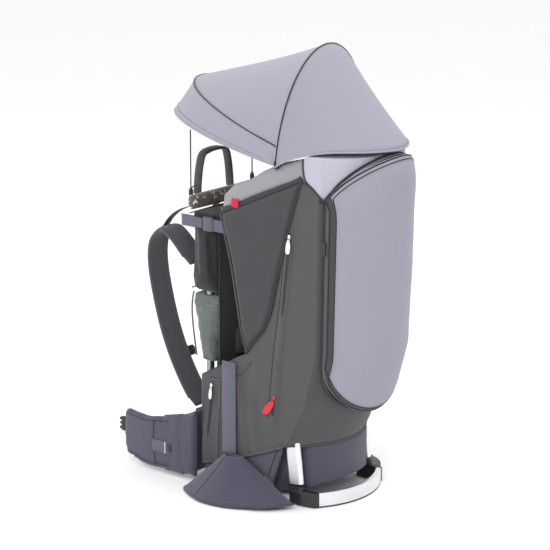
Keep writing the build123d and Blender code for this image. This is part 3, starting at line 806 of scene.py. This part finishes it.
collar_draft = copy_of("cockpit_collar", "soft_collar", COLLAR)
collar = puffed(collar_draft, voxel=4.0, cap=5.0, shrink=0.4, soften=2, fill=0.7)
ride(collar, "carrier", "collar_cloth", ["cockpit_collar"])
head = remeshed(copy_of("head_panel", "head_shell", HEAD_LILAC), 2.6)
softened(head, 6)
ride(head, "carrier", "lilac_cloth", ["head_panel"])
head_seam = [(131.8, 12, 734), (131.8, 12, 692), (132.6, 42, 678), (131.5, 70, 652)]
trim("head_seam", lines("s", [head_seam], 1.4, PIPING))

# ------------------------------------------------------------------ daypack
PACK_HALF = 130
PACK_LOW = (330, 200)  # the outline's lower arc: height at its ends and at the middle
PACK_HIGH = (655, 741)  # the upper arc


def arc_height(x, side_z, middle_z):
    """Height at x of the arc through (PACK_HALF, side_z) and (0, middle_z)."""
    rise = middle_z - side_z
    radius = (PACK_HALF ** 2 + rise ** 2) / (2 * abs(rise))
    drop = radius - math.sqrt(radius ** 2 - min(abs(x), PACK_HALF) ** 2)
    return middle_z - math.copysign(drop, rise)


def pack_spot(u, v, inset=0.0):
    x = (PACK_HALF - inset) * (2 * u - 1)
    low = arc_height(x, *PACK_LOW) + inset
    high = arc_height(x, *PACK_HIGH) - inset
    return x, low + v * (high - low), low, high


def pack_roll(x, z, low, high):
    """How far the face turns down towards its gusset: tightly at the sides, slowly at the top."""
    near = max(0.0, 1 - min(PACK_HALF - abs(x), (z - low) * 0.8) / 16)
    top = max(0.0, 1 - (high - z) / 75)

    def drop(share, depth):
        return depth * (1 - math.sqrt(max(0.0, 1 - share * share)))

    return max(drop(near, 12), drop(top, 24))


def ease(t):
    return 0.5 - 0.5 * math.cos(math.pi * t)


def face_y(x, z, rolled):
    return rear_y(x, z, 28, 48, PACK_HALF) - rolled


def pack_face(u, v):
    u, v = 0.35 * u + 0.65 * ease(u), 0.5 * v + 0.5 * ease(v)
    x, z, low, high = pack_spot(u, v)
    rolled = pack_roll(x, z, low, high)
    near = rolled / 15
    soft = 1.8 * wrinkle(x, 0, z, 110, 7.0) + 0.5 * wrinkle(x, 0, z, 34, 8.0)
    return Vector((x, face_y(x, z, rolled) + soft * max(0.0, 1 - near), z))


def pack_edge(share, inset=0.0):
    """A point (x, z) around the face's outline, starting at its lower left."""
    corners = [pack_spot(1, 0, inset), pack_spot(1, 1, inset)]
    top = [pack_spot(1 - i / 24, 1, inset) for i in range(1, 25)]
    bottom = [pack_spot(i / 24, 0, inset) for i in range(0, 25)]
    ring = [Vector((p[0], p[1], 0)) for p in corners + top + bottom]
    marks = resample(ring, 9.0)
    p = marks[round(share * (len(marks) - 1))]
    return p.x, p.y


def pack_gusset(u, v):
    x, z = pack_edge(u)
    inward = 0.7 * math.sin(math.pi * v) * (1 + 0.5 * wrinkle(x, z, 0, 30, 3.0))
    base_y = rear_y(x, z, 1.5, 1.5, HALF)
    return Vector((x * (1 - inward / 130), base_y + (rear_y(x, z, 15, 16, PACK_HALF) - base_y) * v, z))


face = skin("daypack_shell", pack_face, 80, 150, LILAC, thick=1.2, offset=-1)
face.data.materials.append(GUSSET)
for polygon in face.data.polygons:
    spot = (polygon.center - SHIFT) / MM
    to_edge = min(PACK_HALF - abs(spot.x), (spot.z - arc_height(spot.x, *PACK_LOW)) * 0.8)
    if to_edge < 7.5 and spot.z < 690:
        polygon.material_index = 1
ride(face, "daypack", "lilac_cloth", ["daypack_face"])
gusset = skin("daypack_side", pack_gusset, 150, 6, GUSSET, thick=1.2, offset=-1)
gusset.data.materials.append(LILAC)
for polygon in gusset.data.polygons:
    if (polygon.center.z - SHIFT.z) / MM > 668:
        polygon.material_index = 1
ride(gusset, "daypack", "dark_cloth", ["daypack_gusset"])


def pack_back(u, v):
    x, z, _, _ = pack_spot(u, v, 2)
    return Vector((x, rear_y(x, z, 2.5, 2.5), z))


inner_back = skin("daypack_inner", pack_back, 24, 40, BLACK, thick=1.5)
ride(inner_back, "daypack", "black_cloth", ["daypack_back"])


RUN_COUNT = 140


def face_run(inset, lift):
    made = []
    for i in range(RUN_COUNT + 1):
        x, z = pack_edge(i / RUN_COUNT, inset)
        rolled = pack_roll(x, z, arc_height(x, *PACK_LOW), arc_height(x, *PACK_HIGH))
        made.append((x, face_y(x, z, rolled) + lift, z))
    return made


ride(lines("daypack_piping", [face_run(1.5, 0.5)], 1.7, PIPING), "daypack", "dark_cloth")
ride(lines("daypack_inner_piping", [face_run(7.5, 0.8)], 1.1, PIPING), "daypack", "dark_cloth")
ride(stitches("daypack_stitches", [face_run(11, 0.6)], PALE_THREAD), "daypack", "lilac_cloth")


def gusset_run(v):
    made = []
    for i in range(RUN_COUNT + 1):
        p = pack_gusset(i / RUN_COUNT, v)
        out = Vector((p.x, 0, (p.z - 470) * 0.6 if abs(p.x) < 129 else 0)).normalized()
        made.append(tuple(p + out * 0.7))
    return made


ride(lines("daypack_zip", [gusset_run(0.45)], 1.6, PIPING), "daypack", "dark_cloth")
ride(lines("daypack_seams", [gusset_run(0.12), gusset_run(0.8)], 0.8, THREAD), "daypack", "dark_cloth")

# ------------------------------------------------------------------ pads of the harness side
for node, name, body, material, slot, options in (
    ("back_panel", "back_padding", "carrier", BLACK, "black_cloth", dict(voxel=6, cap=4)),
    ("mesh_pads", "mesh_padding", "carrier", MESH, "mesh_cloth", dict(voxel=5, cap=5)),
    ("lumbar_pad", "lumbar_padding", "carrier", MESH, "mesh_cloth", dict(voxel=4, cap=4)),
    ("face_pad", "face_pillow", "carrier", PRINT, "print_cloth", dict(voxel=4, cap=7, pressure=5)),
    ("seat_base", "seat_cushion", "seat", BLACK, "black_cloth", dict(voxel=5, cap=4)),
    ("seat_back_pad", "seat_back", "carrier", BLACK, "black_cloth", dict(voxel=6, cap=3)),
    ("harness_yoke", "yoke_padding", "harness", BLACK, "black_cloth", dict(voxel=4, cap=2.5)),
    ("hip_roots", "hip_root_padding", "carrier", SLATE, "slate_cloth", dict(voxel=4, cap=2.5)),
):
    ride(puffed(copy_of(node, name, material), **options), body, slot, [node])
hip_wing = puffed(copy_of("left_hip_wing", "left_hip", SLATE), voxel=4, cap=2.5, shrink=1.2)
hip_pieces = pair(hip_wing, "left_hip", "right_hip")
for obj, word in zip(hip_pieces, ("left", "right")):
    ride(obj, word + "_hip", "slate_cloth", [word + "_hip_wing"])


def surface_run(obj, points, direction, lift):
    """Points moved along direction until they lie on a piece's surface, lift mm clear of it."""
    bpy.context.view_layer.update()
    tree = bvhtree.BVHTree.FromObject(obj, bpy.context.evaluated_depsgraph_get())
    aim = Vector(direction).normalized()
    made = []
    for p in points:
        start = at(*p) - aim * 0.2
        hit = tree.ray_cast(start, aim)[0]
        if hit is not None:
            made.append(tuple((hit - aim * lift * MM - SHIFT) / MM))
    return made


def on_hip(points, lift):
    run = resample([(200, y, z) for y, z in points], 5)
    return surface_run(hip_pieces[0], run, (-1, 0, 0), lift)


hip_seams = [
    [(-335, 122), (-400, 112), (-452, 116)],
    [(-335, 22), (-402, 20), (-452, 32)],
    [(-372, 122), (-376, 70), (-370, 16)],
]
hip_stitches = [[(y, z + 4) for y, z in hip_seams[1]], [(y - 4, z) for y, z in hip_seams[2]]]
hip_web = on_hip([(-376, 62), (-360, 62), (-340, 62), (-328, 62)], 1.2)[::2]
hip_fold = on_hip([(-338, 63), (-326, 63)], 2.6)[::2]
hip_extras = joined("hip_extras", [
    lines("s", [on_hip(run, 0.2) for run in hip_seams], 0.9, PIPING),
    stitches("s", [on_hip(run, 0.2) for run in hip_stitches], THREAD),
    ribbon("s", hip_web, (0, 0, 1), 26, 2.2, SLATE_WEB),
    lines("s", [on_hip([(-341, 50), (-341, 75)], 2.8)], 1.5, STEEL),
    ribbon("s", hip_fold, (0, 0, 1), 18, 1.6, DARK_WEB),
    chunk("s", ((144, -468, 62), (150, -440, 98)), DARK_WEB, 2.4),
])
on_sides("hip_trim", hip_extras, "hip", "webbing")


def hip_bridge(u, v):
    """Cloth over the seam where a hip wing turns."""
    y = -346 + 50 * u
    low, high = 10 + 2 * math.sin(math.pi * u), 134 + 12 * u
    x = 155.6 + 1.2 * math.sin(math.pi * u) * math.sin(math.pi * v) - 3.5 * u ** 4
    return Vector((x, y, low + (high - low) * v))


bridge = skin("bridge", hip_bridge, 14, 24, SLATE, thick=2.0, offset=-1)
for obj, word in zip(pair(bridge, "left_hip_cloth", "right_hip_cloth"), ("left", "right")):
    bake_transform(obj)
hip_buckle = joined("hip_buckle", [
    chunk("s", ((142, -480, 69), (148.5, -469, 101)), BLACK_PLASTIC, 2.2),
    chunk("s", ((143, -485.5, 72), (147.5, -478, 78)), BLACK_PLASTIC, 1.4),
    chunk("s", ((143, -485.5, 92), (147.5, -478, 98)), BLACK_PLASTIC, 1.4),
    chunk("s", ((143.4, -485, 82), (147, -478, 88)), BLACK_PLASTIC, 1.2),
    chunk("s", ((148, -474, 74), (149.3, -470, 96)), BLACK_PLASTIC, 0.5),
])
on_sides("hip_clip", hip_buckle, "hip", "black_plastic", "hip_buckle")

mesh_pad_seams = lines("mesh_pad_edges", [
    [(x, -302.5, 262), (x, -313, 322), (x, -316, 380), (x, -309, 401)] for x in (58, 99, -58, -99)
], 1.8, GREY_WEB)
ride(mesh_pad_seams, "carrier", "webbing")
pillow_edge = [(-116, -300, 583), (-60, -304, 580.5), (0, -305, 580), (60, -304, 580.5), (116, -300, 583)]
face_piping = lines("face_pad_piping", [pillow_edge], 1.8, PALE_THREAD)
ride(face_piping, "carrier", "print_cloth")
back_runs = [
    [(-108, -306, 412), (0, -309, 410), (108, -306, 412)],
    [(-110, -309, 572), (0, -309, 574), (110, -309, 572)],
]
ride(lines("back_trim", back_runs, 1.4, THREAD), "carrier", "black_cloth")


def lining(u, v):
    x = -109 + 218 * u
    z = 250 + 322 * v
    return Vector((x, -229 + 1.6 * wrinkle(x, 0, z, 60, 2.2) + 3 * math.sin(math.pi * u), z))


ride(skin("front_lining", lining, 30, 44, BLACK, thick=1.6), "carrier", "black_cloth")

# ------------------------------------------------------------------ straps and webbing
SHOULDER = [
    (-317, 459), (-359, 504), (-392, 526), (-412, 512), (-428, 489), (-430, 440), (-415, 369), (-393, 296),
    (-362, 230), (-323, 171), (-304, 150),
]


def upward(run, i):
    """The direction square to a run at its point i and to the left-right axis."""
    ahead = (run[min(i + 1, len(run) - 1)] - run[max(i - 1, 0)]).normalized()
    return ahead.cross(Vector((1, 0, 0))).normalized()


def padded_strap(name, x, points, wide, thick, material):
    """A padded strap: crowned faces, thin bound edges and a shallow quilted middle."""
    run = resample(rounded([(x, y, z) for y, z in points], 3), 7.0)
    rows = []
    for i, p in enumerate(run):
        up = upward(run, i)
        end = min(i, len(run) - 1 - i) / 5
        taper = 0.72 + 0.28 * min(1.0, end)
        row = []
        for k in range(28):
            turn = 2 * math.pi * k / 28
            c, s = math.cos(turn), math.sin(turn)
            across = math.copysign(abs(c) ** 0.75, c)
            crown = abs(s) ** 0.65 * (1 - 0.18 * math.exp(-(across / 0.25) ** 2))
            puff = 1 + 0.05 * wrinkle(p.x, p.y, p.z, 26, 9.0)
            sideways = Vector((1, 0, 0)) * across * wide / 2 * taper
            row.append(p + sideways + up * math.copysign(crown, s) * thick / 2 * puff)
        rows.append(row)
    return from_rows(name, rows, material, closed=True, caps=True), run


def strap_line(run, x, lift, skip=3):
    made = []
    for i in range(skip, len(run) - skip):
        up = upward(run, i)
        if up.y > 0:
            up = -up
        made.append(tuple(run[i] + Vector((x - run[i].x, 0, 0)) + up * lift))
    return made


shoulder, shoulder_run = padded_strap("shoulder", 80, SHOULDER, 60, 12, STRAP)
shoulder_web = strap_line(shoulder_run, 80, 7.0, 2)
shoulder_piece = joined("shoulder", [
    shoulder,
    lines("s", [strap_line(shoulder_run, 51.5, 0.5), strap_line(shoulder_run, 108.5, 0.5)], 1.5, GREY_WEB),
    stitches("s", [strap_line(shoulder_run, 56, 4.6), strap_line(shoulder_run, 104, 4.6)], THREAD),
    ribbon("s", shoulder_web[4:-2], (1, 0, 0), 20, 1.6, DARK_WEB),
    chunk("s", ((70, -422.5, 398), (90, -418, 404)), LINING, 1.0),
])
for obj, word in zip(pair(shoulder_piece, "left_shoulder", "right_shoulder"), ("left", "right")):
    ride(obj, "harness", "strap_cloth", [word + "_shoulder_strap"])

lifter = ribbon("lifter", [(70, -425, 507), (70, -386, 558), (70, -320, 583)], (1, 0, 0), 20, 1.8, DARK_WEB)
for obj in pair(lifter, "left_lifter", "right_lifter"):
    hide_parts("strap_webbings")
    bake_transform(obj)
lower = ribbon("lower", [(80, -304, 62), (80, -304, 90), (80, -304, 113)], (1, 0, 0), 25, 2.0, DARK_WEB)
for obj in pair(lower, "left_lower_webbing", "right_lower_webbing"):
    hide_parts("strap_webbings")
    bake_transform(obj)
child_run = [(45, -40, 582), (45, -58, 520), (45, -79, 447), (45, -88, 428)]
child_strap = ribbon("child", child_run, (1, 0, 0), 30, 2.2, DARK_WEB)
both("child_strap", child_strap, "carrier", "webbing", ["child_straps"])

SLOPE = Vector((0, 31, -66)).normalized()
OUT = Vector((0, -66, -31)).normalized()
STERNUM = Vector((80, -370, 247)) + OUT * 9.5


def sternum_block(x_low, x_high, down, thick, material, bevel=1.2):
    piece = chunk("s", ((x_low, -down, -thick), (x_high, down, thick)), material, bevel)
    for v in piece.data.vertices:
        local = (v.co - SHIFT) / MM
        v.co = at(*(STERNUM + Vector((local.x - STERNUM.x, 0, 0)) + SLOPE * local.y + OUT * local.z))
    return piece


sternum = joined("sternum", [
    sternum_block(68, 92, 10, 3, BLACK_PLASTIC, 2.0),
    sternum_block(72, 88, 6, 3.8, BLACK_PLASTIC, 1.0),
    sternum_block(32, 72, 8, 1, DARK_WEB, 0.6),
    sternum_block(24, 44, 11, 3.6, BLACK_PLASTIC, 2.4),
    sternum_block(20.5, 27, 8, 2.2, BLACK_PLASTIC, 1.4),
])
on_sides("sternum_clip", sternum, "sternum", "black_plastic", "sternum_half")

HANDLE_Y = -339
handle_run = [(x, HANDLE_Y, z) for x, z in (
    (-52, 598), (-50, 630), (-45, 662), (-38, 684), (-18, 689),
    (12, 689.5), (36, 684), (44, 662), (50, 630), (52, 598),
)]
grip_run = [(x * 0.965, HANDLE_Y, 596 + (z - 596) * 0.965) for x, _, z in handle_run[3:7]]
handle = joined("handle", [
    ribbon("s", handle_run, (0, 1, 0), 21, 3.2, DARK_WEB),
    ribbon("s", grip_run, (0, 1, 0), 20, 2.4, GREY_WEB),
])
ride(handle, "handle", "webbing", ["grab_handle"])
loop_run = [(84, -312, 626), (86, -324, 622), (88, -331, 610), (85, -328, 597), (82, -316, 594)]
ride(lines("cord_loop", [loop_run], 1.3, CORD), "carrier", "cord")

# Side-entry straps: webbing, a slotted socket and a plug with its prongs.
entry_socket = joined("socket", [
    ribbon("s", [(118, -246, 558.5), (118, -220, 558), (118, -188, 558)], (0, 0, 1), 25, 2.2, SLATE_WEB),
    chunk("s", ((113.4, -263.5, 543.5), (121.6, -237, 573.5)), GREY_PLASTIC, 2.4),
    chunk("s", ((120.6, -258, 549), (122, -247, 568)), GREY_PLASTIC, 0.6),
    chunk("s", ((121, -243.5, 546), (122.1, -241.5, 571)), GREY_PLASTIC, 0.5),
])
both("socket", entry_socket, "carrier", "grey_plastic", ["entry_sockets"])
entry_plug = joined("plug", [
    ribbon("s", [(118, -324, 558), (118, -306, 558.5), (118, -288, 558.5)], (0, 0, 1), 25, 2.2, SLATE_WEB),
    chunk("s", ((114.4, -290, 547.5), (121.6, -265.5, 569.5)), GREY_PLASTIC, 2.2),
    chunk("s", ((116.8, -266, 552), (119.2, -247, 556)), GREY_PLASTIC, 0.8),
    chunk("s", ((116.8, -266, 561), (119.2, -247, 565)), GREY_PLASTIC, 0.8),
    chunk("s", ((121, -283, 551), (122, -280, 566)), GREY_PLASTIC, 0.4),
])
on_sides("plug", entry_plug, "entry", "grey_plastic", "entry_plug")

# ------------------------------------------------------------------ stirrups
CUP_X, CUP_Y = 142, -165  # the cup's apex, against the bag
CUP = [
    (CUP_X, -256), (178, -259), (204, -254), (236, -188), (238, -150),
    (230, -110), (216, -82), (190, -30), (CUP_X, 0),
]
cup_rim = resample(rounded([(x, y, 0) for x, y in CUP], 2), 6.0)
cup_ring = cup_rim + resample([(CUP_X, 0, 0), (CUP_X, -256, 0)], 9.0)[1:-1]


def cup_rows():
    rows = []
    for j in range(25):
        v = j / 24
        narrow = 1 - 0.83 * v
        row = []
        for p in cup_ring:
            x = CUP_X + narrow * (p.x - CUP_X)
            y = CUP_Y + narrow * (p.y - CUP_Y)
            rear = max(0.0, (y + 110) / 110)
            sag = 5 * math.sin(math.pi * v)
            fold = 2.0 * wrinkle(x, y, 80 * v, 32, 2.5) * math.sin(math.pi * v)
            lift = 6 * rear * (1 - v)
            bulge = (sag + fold) * (CUP_X - p.x) / 96
            row.append((max(142.2, x + bulge), y, 4 + 79.5 * v ** 0.97 + lift))
        rows.append(row)
    return rows


cup_skin = cup_rows()
cup = from_rows("cup", cup_skin, SLATE, closed=True)
thicken(cup, 2.2)
count = len(cup_rim)
crease = [row[count // 3] for row in cup_skin[1:-1]]
stirrup_run = [(140, -177, 281), (140.4, -177, 200), (140, -177, 120), (141.2, -176, 82)]
stirrup = joined("stirrup", [
    cup,
    lines("s", [cup_skin[0][:count]], 1.7, GUSSET),
    lines("s", [crease], 0.8, PIPING),
    stitches("s", [cup_skin[3][:count]], THREAD),
    ribbon("s", stirrup_run, (0, 1, 0), 37, 2.2, SLATE_WEB),
    stitches("s", [[(141.6, -190, z), (141.6, -164, z)] for z in (92, 272)], THREAD),
])
on_sides("stirrup_piece", stirrup, "foot_loop", "slate_cloth", "stirrup")
base_loop_run = [
    (131, -96, 52), (134, -84, 30), (134.5, -66, 18), (133.5, -58, 24), (133, -70, 40), (131, -84, 50),
]
base_loop = ribbon("base_loop", base_loop_run, (0.85, 0.3, 0), 14, 1.6, GREY_WEB, 4.0)
trim("base_loop", base_loop, "webbing")

# ------------------------------------------------------------------ small pieces
red_tag = joined("tag", [
    chunk("s", ((134.6, -171, 611), (137.4, -153, 629)), RED_TAG, 0.9),
    stitches("s", [[(137.6, -169, 613.5), (137.6, -155, 613.5)]], THREAD),
])
ride(red_tag, "carrier", "red_pull")


def puller(line, along, length, wide, metal_part, tab, slant=0.0):
    """A zip slider on its line with a ring and a rounded tab hanging down it."""
    a, b = Vector((0, *line[0])), Vector((0, *line[1]))
    run = (b - a).normalized()
    over = Vector((0, -run.z, run.y))
    spot = a + run * along

    def on(u, w, h):
        p = spot + run * u + over * (w + slant * max(0.0, u - length * 0.2))
        return (HALF + 1.4 + h, p.y, p.z)

    def circle(middle, radius_u, radius_w, count, h):
        turns = [2 * math.pi * k / count for k in range(count)]
        return [on(middle + math.cos(t) * radius_u, math.sin(t) * radius_w, h) for t in turns]

    tab_middle = length * 0.62
    outline = []
    for t in range(40):
        turn = 2 * math.pi * t / 40
        c, s = math.cos(turn), math.sin(turn)
        u = tab_middle + math.copysign(abs(c) ** 0.8, c) * length * 0.37
        w = math.copysign(abs(s) ** 0.8, s) * wide / 2 * (0.62 + 0.38 * (c + 1) / 2)
        outline.append((u, w))
    tab_levels = ((0.02, 0.9), (0.9, 0.9), (1.0, 1.3), (1.0, 2.1), (0.92, 2.6), (0.6, 2.4), (0.02, 2.3))
    rows = [[on(u * k + tab_middle * (1 - k), w * k, h) for u, w in outline] for k, h in tab_levels]
    body = from_rows("s", rows, tab, closed=True)
    rim = lines("s", [[on(u, w, 2.2) for u, w in outline]], 0.6, metal_part, closed=True)
    ring = lines("s", [circle(length * 0.20, 3, 2.4, 12, 1.6)], 0.6, metal_part, closed=True)
    head_levels = ((0.05, 0.6), (1, 0.6), (1.05, 1.4), (0.8, 2.4), (0.05, 2.6))
    head_rows = [circle(length * 0.08, size * 4.6, size * 3.6, 16, h) for size, h in head_levels]
    return [body, rim, ring, from_rows("s", head_rows, metal_part, closed=True)]


SIDE_ZIP, POCKET_ZIP = [(-17, 576), (-62, 189)], [(-228, 222), (-240, 110)]
for name, line, along, length, wide, metal_part, tab, node, body in (
    ("side_pull", SIDE_ZIP, 0, 40, 13, STEEL, STEEL, "side_slider", "zip"),
    ("red_pull", SIDE_ZIP, 348, 46, 21, RED, RED, "red_slider", "red_zip"),
    ("pocket_pull", POCKET_ZIP, 0, 34, 9, STEEL, STEEL, "pocket_slider", "pocket_zip"),
):
    piece = joined(name, puller(line, along, length, wide, metal_part, tab, -0.55 if tab is RED else 0.0))
    on_sides(name, piece, body, "steel", node)

# ------------------------------------------------------------------ carried-over hard pieces
for words, material in (
    (("stand_legs", "foot_bar"), ALUMINIUM),
    (("frame_side_tubes", "frame_braces"), metal("frame_tube", (0.35, 0.35, 0.37), rough=0.4)),
    (("stand_pins", "canopy_hubs", "visor_pins"), STEEL),
    (("main_bow", "visor_bow"), COATED),
    (("stand_elbows", "stand_bushes", "ladder_locks"), BLACK_PLASTIC),
    (("stand_sole", "front_feet"), RUBBER),
    (("zip_tracks",), PIPING),
    (("daypack_slider",), BLACK_PLASTIC),
):
    for word in words:
        obj = frame["nodes"][word]
        obj.data.materials.clear()
        obj.data.materials.append(material)

# ------------------------------------------------------------------ cords
CORD_Y = -316
CORD_HEIGHTS = (746, 722, 690, 655, 620, 596)


def cord_block(x, half, low, high, material, bevel):
    return chunk("s", ((x - half, CORD_Y - half, low), (x + half, CORD_Y + half, high)), material, bevel)


for word, x in (("left", 98), ("right", -98)):
    run = [(x, CORD_Y, z) for z in CORD_HEIGHTS]
    cord = lines(word + "_cord", [run], 1.4, CORD)
    stopper = joined(word + "_stopper", [
        cord_block(x, 4, 606, 620, BLACK_PLASTIC, 2.5),
        cord_block(x, 2.2, 620, 624, GREY_PLASTIC, 1.0),
        cord_block(x, 2.6, 594, 599, CORD, 1.8),
    ])
    ride(stopper, "visor", "black_plastic")
    ride(cord, "visor", "cord", [word + "_canopy_cord"])

# ------------------------------------------------------------------ floor, light and camera
floor_nodes = Nodes("floor")
floor_tone = floor_nodes.mix(floor_nodes.noise(2), (0.93, 0.93, 0.93), (0.94, 0.94, 0.94))
floor_nodes.link(floor_tone, floor_nodes.shader.inputs["Base Color"])
floor_nodes.shader.inputs["Roughness"].default_value = 0.9
floor_nodes.shader.inputs["Specular IOR Level"].default_value = 0.1
bpy.ops.mesh.primitive_plane_add(size=14, location=(0, 0, SOLE[2] - 0.0005))
floor = bpy.context.object
floor.name = "floor"
floor.data.materials.append(floor_nodes.material)

bpy.context.scene.view_settings.view_transform = "Standard"
world = bpy.data.worlds.new("studio")
world.use_nodes = True
world.node_tree.nodes["Background"].inputs["Color"].default_value = (1, 1, 1, 1)
world.node_tree.nodes["Background"].inputs["Strength"].default_value = 1.0
bpy.context.scene.world = world


def soft_light(name, place, target, size, power):
    data = bpy.data.lights.new(name, "AREA")
    data.shape = "DISK"
    data.size = size
    data.energy = power
    lamp = bpy.data.objects.new(name, data)
    lamp.location = place
    lamp.rotation_euler = (Vector(target) - Vector(place)).to_track_quat("-Z", "Y").to_euler()
    bpy.context.scene.collection.objects.link(lamp)


MIDDLE = (0, -0.15, 0.45)
soft_light("key_light", (2.4, 1.0, 2.4), MIDDLE, 1.6, 38)
soft_light("fill_light", (1.2, -2.6, 1.3), MIDDLE, 1.8, 18)
soft_light("top_light", (-0.6, 0.4, 3.0), MIDDLE, 1.6, 26)

camera_data = bpy.data.cameras.new("camera")
camera_data.lens = 159.64
camera_data.sensor_width = 36
camera_data.dof.use_dof = False
camera = bpy.data.objects.new("camera", camera_data)
camera.location = (3.77774, 2.93721, 1.76102)
camera.rotation_euler = Vector((-0.73994, -0.62089, -0.25882)).to_track_quat("-Z", "Y").to_euler()
bpy.context.scene.collection.objects.link(camera)
bpy.context.scene.camera = camera
